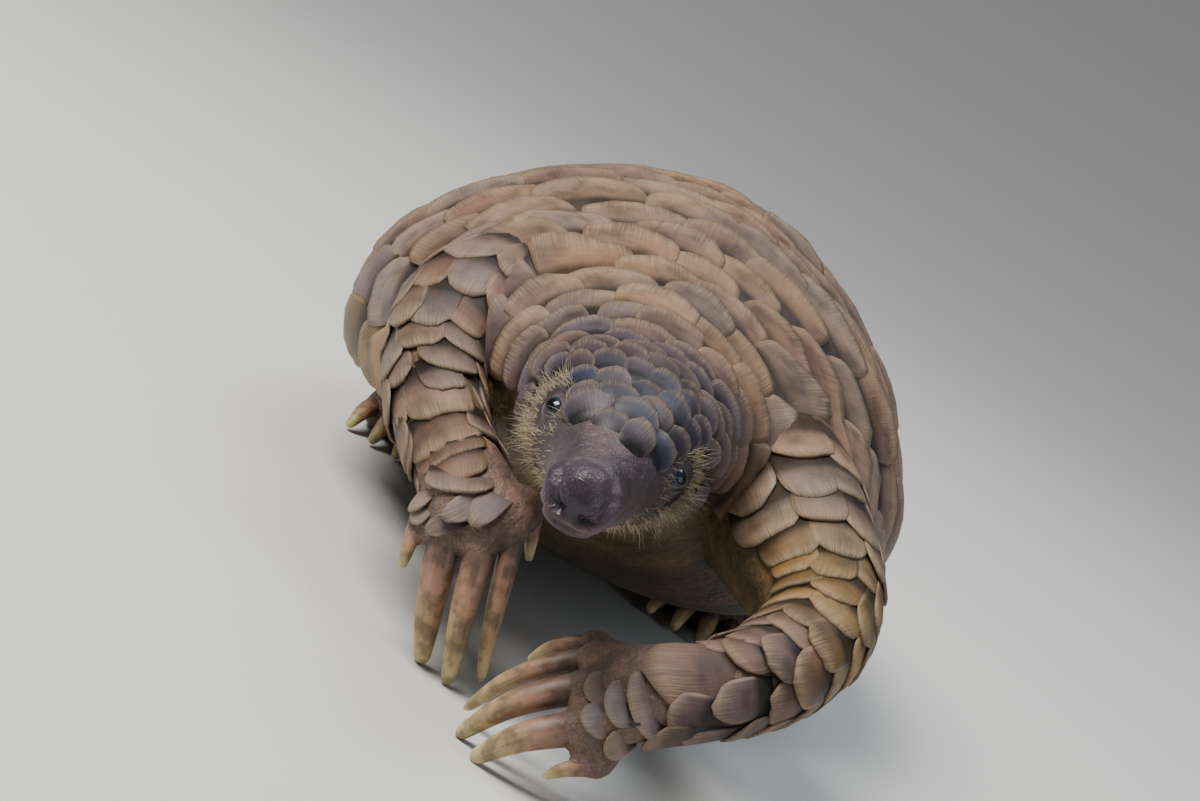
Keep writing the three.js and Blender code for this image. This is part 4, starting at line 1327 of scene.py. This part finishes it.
tail_rings = rings_between(388, spine_length - 4, tail_pitch)
tail = scale_field(spine, tail_rings, tail_width, lambda s: math.pi, tail_pitch, 1.75)
tail["length"] = np.minimum(tail["length"], spine_length + 1.0 - tail["s"])
lay_scales("scales_tail", spine, tail, body_hues, 0.13, 1.3, blunt=0.45, push=over_shoulders)
tail_end = spine(np.array([spine_length - 14, spine_length]))[0]
tip_scales = []
for lift, past in ((3.2, 1.6), (-2.0, 0.8)):
    root = tail_end[0] + [0, 0, lift]
    end = tail_end[1] + unit(tail_end[1] - tail_end[0]) * past + [0, 0, 0.3 * lift]
    tip_scales.append([*root, *end, 10])
lay_on_skin("scales_tail_tip", tip_scales, TAIL_HUE)


LEG_HUE = (0.128, 0.080, 0.068)
ELBOW_HUES = {"left": (0.160, 0.105, 0.045), "right": (0.150, 0.098, 0.070)}
TOE_HUE = (0.150, 0.112, 0.105)
SET_ON_LEGS = {  # end, angle, turn, width, length
    "left": [
        [0.865, -34, 0, 13, 15],
        [0.860, 66, -8, 12, 18],
        [0.955, 8, 0, 24, 30],
        [0.930, -54, 10, 13, 14],
    ],
    "right": [
        [0.600, 36, 10, 12, 18],
        [0.720, 68, 6, 12, 19],
        [0.740, -60, -20, 10, 20],
        [0.757, 4, 2, 24, 25],
        [0.820, 86, 6, 13, 15],
        [0.862, 18, 0, 27, 19],
        [0.893, 16, -4, 24, 10],
        [0.900, 98, 10, 10, 11],
        [0.955, 16, 0, 21, 13],
        [0.965, 98, 25, 10, 13],
    ],
}
BARE_ON_LEGS = {  # shares of the length and degrees between which the skin has no scales
    "left": [(0.90, 1.3, -20, 140), (0.93, 1.3, -140, 140)],
    "right": [(0.84, 1.3, -140, -22), (0.95, 1.3, -140, 140)],
}
SET_ON_HANDS = {  # root x, y, z, end x, y, z, width
    "left": [
        [41, -25, 36.5, 36.5, -27, 32.5, 18],
        [35, -26, 33.5, 30.5, -26, 30, 13],
        [29, -20, 32.5, 24.5, -20.5, 29, 9],
        [32.5, -27.5, 28, 28, -28, 23.5, 10],
        [40, -26.5, 25, 35.5, -29, 20.5, 9],
    ],
    "right": [
        [-35.5, 25, 39.5, -35, 24, 33.5, 8],
        [-38, 30, 43, -36.5, 25, 36, 11],
        [-32.5, 30, 51.5, -29, 21.5, 47, 19],
        [-26, 19.5, 42.5, -31.5, 21.5, 35, 6],
        [-22, 26, 50.5, -30.5, 19, 39.5, 7.5],
        [-19, 28.5, 53, -21.5, 19.5, 41, 8.5],
    ],
}
for name, leg in FORELEGS.items():
    section, length = swept(leg["line"], leg["outward"])

    def leg_pitch(s, length=length):
        """A foreleg's scales show 14 mm at the shoulder and 8 mm at the wrist."""
        return float(np.interp(s / length, [0, 0.35, 0.6, 0.8, 1], [14, 12, 10.5, 9, 8]))

    def leg_width(s, length=length):
        """They are 20 mm broad at the shoulder and 13 mm at the wrist."""
        return float(np.interp(s / length, [0, 0.35, 0.6, 0.8, 1], [20, 16, 14.5, 13, 12]))

    def leg_hues(field, length=length, elbow=ELBOW_HUES[name]):
        """The back's hue at the shoulder, ochre at the elbow and redder towards the foot."""
        share = field["s"] / length
        start = np.broadcast_to(np.array(BACK_HUE), (len(share), 3)).copy()
        return mixed(mixed(start, elbow, ease(0.15, 0.4, share)), LEG_HUE, ease(0.4, 0.8, share))

    rings = rings_between(length * 0.06, length * 0.97, leg_pitch)
    field = scale_field(section, rings, leg_width, lambda s: math.radians(124), leg_pitch, 1.7)
    own = set_scales(section, length, SET_ON_LEGS[name])
    bare = [[a * length, b * length, math.radians(c), math.radians(d)] for a, b, c, d in BARE_ON_LEGS[name]]
    field = with_set_scales(field, own, bare)
    lay_scales(
        "scales_foreleg_" + name, section, field, leg_hues, 0.085, 2.3,
        dome=0.02, blunt=0.45, tip=(-0.6, -0.1), keep=outside_trunk,
    )
    lay_on_skin("scales_hand_" + name, SET_ON_HANDS[name], TOE_HUE)

HIND_PITCH = 8.0
HIND_WIDTH = 14
ABOVE_SOLE = 10  # the height at which the hind legs' scales end
for name, (side, shift) in HIND_STANCE.items():
    line, outward = hind_line(side, shift)
    line[-1][2] = ABOVE_SOLE
    section, length = swept(line[1:], outward[1:])
    rings = rings_between(length * 0.05, length * 0.72, lambda s: HIND_PITCH)
    field = scale_field(
        section, rings, lambda s: HIND_WIDTH, lambda s: math.radians(125), lambda s: HIND_PITCH, 1.7,
    )

    def hind_hues(field):
        """Red-brown horn, as on the forelegs."""
        return np.broadcast_to(np.array(LEG_HUE), (len(field["s"]), 3)).copy()

    lay_scales("scales_hindleg_" + name, section, field, hind_hues, 0.12, 1.6, keep=outside_trunk)

# The eyes. Small round wet globes, near black with a faint blue-grey ring, that stand a little proud
# between the thick lids of the skin.
for side, name in ((1, "left"), (-1, "right")):
    around = np.linspace(0, math.tau, 41)[:-1]
    down = np.linspace(0.04, math.pi - 0.04, 26)
    ball = np.stack([
        np.sin(down)[:, None] * np.cos(around),
        np.sin(down)[:, None] * np.sin(around),
        np.cos(down)[:, None] * np.ones_like(around),
    ], axis=-1)
    points, faces = capped(ball * EYE_RADIUS + EYE_SEAT * [side, 1, 1])
    eye = new_piece("eyeball_" + name, metres(points), [f[::-1] for f in faces])
    wet_black, tree, surface = painted("eye_" + name + "_gloss")
    surface.inputs["Roughness"].default_value = 0.06
    surface.inputs["Specular IOR Level"].default_value = 0.45
    pupil_front = tuple(metres((EYE_SEAT + GAZE * EYE_RADIUS) * [side, 1, 1]))
    facing = node(tree, "ShaderNodeVectorMath", {1: pupil_front}, operation="DISTANCE")
    iris = ramp(tree, [(0.25, 0.003), (0.38, (0.022, 0.030, 0.048)), (0.62, (0.008, 0.010, 0.016))])
    spread = node(tree, "ShaderNodeMath", {1: 120}, operation="MULTIPLY")
    linked(
        tree,
        (node(tree, "ShaderNodeTexCoord").outputs["Object"], facing.inputs[0]),
        (facing.outputs["Value"], spread.inputs[0]),
        (spread.outputs["Value"], iris.inputs["Fac"]),
        (iris.outputs["Color"], surface.inputs["Base Color"]),
    )
    eye.data.materials.append(wet_black)
    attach(eye, "root")
    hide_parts("eye_" + name)

# The claws. Long curved horn that grows from the end of each digit, thick and blunt on the forefeet
# for digging, dark and dirty at the root and worn to a pale tip.
CLAW_SUNK = 3.0


def claw_grid(root, direction, tip, half, outward):
    """A claw along a bent path: full width for most of its length, then drawn to a blunt tip.

    Its section is an oval, a little lower than it is broad.
    """
    root = np.asarray(root, float)
    tip = np.asarray(tip, float)
    reach = np.linalg.norm(tip - root)
    bend = root + direction * reach * 0.52
    middle = bend + (0.5 * (root + tip) - bend) * 0.22
    path = [root - direction * CLAW_SUNK, middle, tip]

    def sizes(t):
        end = np.clip((t - 0.93) / 0.07, 0, 1)
        size = half * 1.08 * (1 - 0.6 * t**1.8) * np.sqrt(np.maximum(1 - end**2, 0.01))
        return size, size * 0.94

    return tube_grid(path, sizes, outward, 34, 20)


def claw_material(name):
    """Horn with growth lines round it and streaks along it, graded from dirty root to pale tip."""
    material, tree, surface = painted(name)
    share = node(tree, "ShaderNodeUVMap", uv_map="along")
    parts = node(tree, "ShaderNodeSeparateXYZ")
    shade = ramp(tree, [
        (0.0, (0.045, 0.028, 0.020)),
        (0.20, (0.130, 0.075, 0.054)),
        (0.42, (0.310, 0.170, 0.105)),
        (0.76, (0.420, 0.300, 0.140)),
        (1.0, (0.500, 0.440, 0.210)),
    ])
    stretched = node(tree, "ShaderNodeMapping", {"Scale": (4, 22, 1)})
    streaks = noise(tree, 1.0, 5)
    lines = node(tree, "ShaderNodeMapping", {"Scale": (26, 1.2, 1)})
    growth = noise(tree, 1.0, 3)
    smudge = noise(tree, 220, 5)
    tone = ramp(tree, [(0.3, 0.62), (0.7, 1.25)])
    toned = times(tree, 0.8)
    soil = ramp(tree, [(0.40, 0.35), (0.56, 1.1)])
    soiled = times(tree, 0.7)
    bump = relief_of(tree, 0.35, 0.0003)
    bump_lines = relief_of(tree, 0.3, 0.0003)
    linked(
        tree,
        (share.outputs["UV"], parts.inputs["Vector"]),
        (parts.outputs["X"], shade.inputs["Fac"]),
        (share.outputs["UV"], stretched.inputs["Vector"]),
        (stretched.outputs["Vector"], streaks.inputs["Vector"]),
        (share.outputs["UV"], lines.inputs["Vector"]),
        (lines.outputs["Vector"], growth.inputs["Vector"]),
        (node(tree, "ShaderNodeTexCoord").outputs["Object"], smudge.inputs["Vector"]),
        (streaks.outputs["Fac"], tone.inputs["Fac"]),
        (shade.outputs["Color"], toned.inputs["A"]),
        (tone.outputs["Color"], toned.inputs["B"]),
        (smudge.outputs["Fac"], soil.inputs["Fac"]),
        (toned.outputs["Result"], soiled.inputs["A"]),
        (soil.outputs["Color"], soiled.inputs["B"]),
        (soiled.outputs["Result"], surface.inputs["Base Color"]),
        (streaks.outputs["Fac"], bump.inputs["Height"]),
        (growth.outputs["Fac"], bump_lines.inputs["Height"]),
        (bump.outputs["Normal"], bump_lines.inputs["Normal"]),
        (bump_lines.outputs["Normal"], surface.inputs["Normal"]),
    )
    surface.inputs["Roughness"].default_value = 0.48
    return material


claw_horn = claw_material("claw_horn")


def make_claw(name, node_name, root, direction, tip, half, outward):
    """One claw as its own piece, held above the floor's plane."""
    grid = claw_grid(root, direction, tip, half, outward)
    grid[..., 2] = np.maximum(grid[..., 2], 0.0)
    rows, columns = grid.shape[:2]
    points, faces = capped(grid)
    claw = new_piece(name, metres(points), faces)
    along, around = np.meshgrid(np.linspace(0, 1, rows), np.linspace(0, 1, columns), indexing="ij")
    flat = np.stack([along, np.abs(around - 0.5) * 2], axis=-1).reshape(-1, 2)
    flat = np.concatenate([flat, [[0, 0.5], [1, 0.5]]])
    give_map(claw.data, "along", flat)
    claw.data.materials.append(claw_horn)
    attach(claw, "root")
    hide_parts(node_name)


for name, leg in FORELEGS.items():
    back = leg["outward"][-1]
    for k, (root, tip, half) in enumerate(leg["digits"]):
        direction = digit_direction(root, tip, back)
        label = f"{name}_{k + 1}"
        make_claw("foreclaw_" + label, "claw_fore_" + label, root, direction, tip, half, back)
for name, (side, shift) in HIND_STANCE.items():
    toe = HIP_BACK + shift + HEEL_BACK - FOOT_LENGTH
    for k in range(5):
        spread = (k - 2) / 2
        x = side * (FOOT_OUT + TOES_OUT) + spread * (FOOT_HALF_WIDTH - 4.5)
        root = np.array([x, toe - 4 + 6 * spread * spread, 8.5])
        tip = np.array([x + spread * 3, root[1] - NAIL_LENGTH, 1.5])
        direction = unit(np.array([spread * 0.15, -1, -0.1]))
        label = f"{name}_{k + 1}"
        make_claw("hindclaw_" + label, "claw_hind_" + label, root, direction, tip, 3.2, [0, 0, 1])

# The ears. A low fold of bare skin behind each cheek, round a shallow opening, higher at its front
# edge. It is the same hide as the face, and stands on the skin.
EAR_PLACE = (76.0, math.radians(104))
EAR_PROFILE = [  # share of the half size, lift
    [1.35, -0.8],
    [1.15, 0.5],
    [0.95, 1.5],
    [0.78, 1.6],
    [0.62, 0.6],
    [0.5, -0.6],
    [0.1, -0.9],
]
for side, name in ((1, "left"), (-1, "right")):
    around = np.linspace(0, math.tau, 41)[:-1]
    shape = through(EAR_PROFILE, np.linspace(0, len(EAR_PROFILE) - 1, 25))
    fore = 3.2 * shape[:, :1] * np.cos(around)
    down = 4.8 * shape[:, :1] * np.sin(around)
    crest = 1 - 0.55 * np.cos(around)[None]
    lift = np.where(shape[:, 1:] > 0, shape[:, 1:] * crest, shape[:, 1:])
    cup = on_surface(spine, EAR_PLACE[0] + fore, side * (EAR_PLACE[1] + down / 26), lift)
    points, faces = capped(cup)
    if side > 0:
        faces = [f[::-1] for f in faces]
    ear = new_piece("ear_fold_" + name, metres(points), faces)
    give_colour(ear.data, "hue", np.broadcast_to(np.array([0.085, 0.058, 0.060]), (len(points), 3)))
    give_colour(ear.data, "wet", np.zeros((len(points), 3)))
    ear.data.materials.append(skin_material())
    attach(ear, "root")
    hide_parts("ear_" + name)

# The bristles. Short straw-coloured hairs on the cheeks, round the eyes and under the chin, the only
# hair on the animal that shows. Each is a thin spike of three sides with its root in the skin.
BRISTLES = 3000
chance = np.random.default_rng(29)


def bristle_spikes(roots, normals, lean, lengths, thick):
    """Thin three-sided spikes that leave the skin along its normal and bend towards their lean.

    The axis at share t is root + length * (normal * t + lean * t to the power 1.6), and the width
    falls evenly to 0.15 of what it is at the root.
    """
    t = np.array([0.0, 0.35, 0.7, 1.0])
    axis = roots[:, None] + lengths[:, None, None] * (
        normals[:, None] * t[None, :, None] + lean[:, None] * (t**1.6)[None, :, None]
    )
    across = unit(np.cross(normals + lean, [0.31, 0.55, 0.77]))
    other = unit(np.cross(normals + lean, across))
    turn = np.array([0, 1, 2]) * math.tau / 3
    ring = across[:, None] * np.cos(turn)[None, :, None] + other[:, None] * np.sin(turn)[None, :, None]
    width = thick[:, None] * (1 - 0.85 * t)[None, :]
    return axis[:, :, None] + width[:, :, None, None] * ring[:, None]


def from_eyes(points):
    """The distance from the middle of the nearer eye."""
    return np.minimum(*(np.linalg.norm(points - EYE_CENTRE * [side, 1, 1], axis=-1) for side in (1, -1)))


def spike_faces():
    """The faces along the three sides of one spike."""
    faces = []
    for row in range(3):
        for j in range(3):
            after = (j + 1) % 3
            faces.append([row * 3 + j, row * 3 + after, row * 3 + 3 + after, row * 3 + 3 + j])
    return faces


s = chance.uniform(20, 62, BRISTLES * 6)
angle = chance.uniform(0.95, 2.75, len(s)) * chance.choice([-1, 1], len(s))
low = np.abs(angle)
places = on_surface(spine, s, angle, 0)
gap = from_eyes(places)
weight = 0.6 * np.exp(-((gap - 8.8) / 2.2) ** 2) * (0.2 + 0.8 * ease(38, 52, s))
weight += 0.5 * np.exp(-((s - 54) / 6.0) ** 2) * np.exp(-((low - 1.95) / 0.42) ** 2)
weight += 0.10 * np.exp(-((s - 38) / 12) ** 2) * np.exp(-((low - 2.3) / 0.5) ** 2)
kept = chance.uniform(0, 1, len(s)) < weight
s, angle = s[kept][:BRISTLES], angle[kept][:BRISTLES]
roots = on_surface(spine, s, angle, -0.15)
outside = on_surface(spine, s, angle, 1.0)
normals = unit(outside - roots)
gap = from_eyes(roots)
kept = gap > 6.4
s, angle, roots, normals = s[kept], angle[kept], roots[kept], normals[kept]
backwards = np.array([0, 1.0, -0.25])
lean = unit(backwards + chance.normal(0, 0.6, roots.shape)) * 0.9
lengths = chance.uniform(1.8, 5.0, len(s)) * (0.5 + 0.5 * ease(30, 50, s))
thick = chance.uniform(0.055, 0.095, len(s))
spikes = bristle_spikes(roots, normals * 0.75, lean, lengths, thick)
count = len(spikes)
faces = (np.array(spike_faces())[None] + np.arange(count)[:, None, None] * 12).reshape(-1, 4)
bristles = new_piece("bristles_face", metres(spikes.reshape(-1, 3)), faces.tolist())
tone = chance.uniform(0.12, 1.3, count)[:, None] * np.array([[0.43, 0.345, 0.22]])
give_colour(bristles.data, "hue", np.repeat(tone, 12, axis=0))
u = angle / math.tau + 0.5
v = s / 80
spot = np.stack([u, v], axis=-1)[:, None, :] + 0.0015 * np.stack([
    np.tile([-1, 0, 1], 4),
    np.repeat([-1, -0.3, 0.3, 1], 3),
], axis=-1)[None]
give_map(bristles.data, "OFBake", spot.reshape(-1, 2))
straw, straw_tree, straw_surface = painted("bristle_straw")
straw_hue = node(straw_tree, "ShaderNodeAttribute", attribute_name="hue")
straw_surface.inputs["Roughness"].default_value = 0.5
linked(straw_tree, (straw_hue.outputs["Color"], straw_surface.inputs["Base Color"]))
bristles.data.materials.append(straw)
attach(bristles, "root")
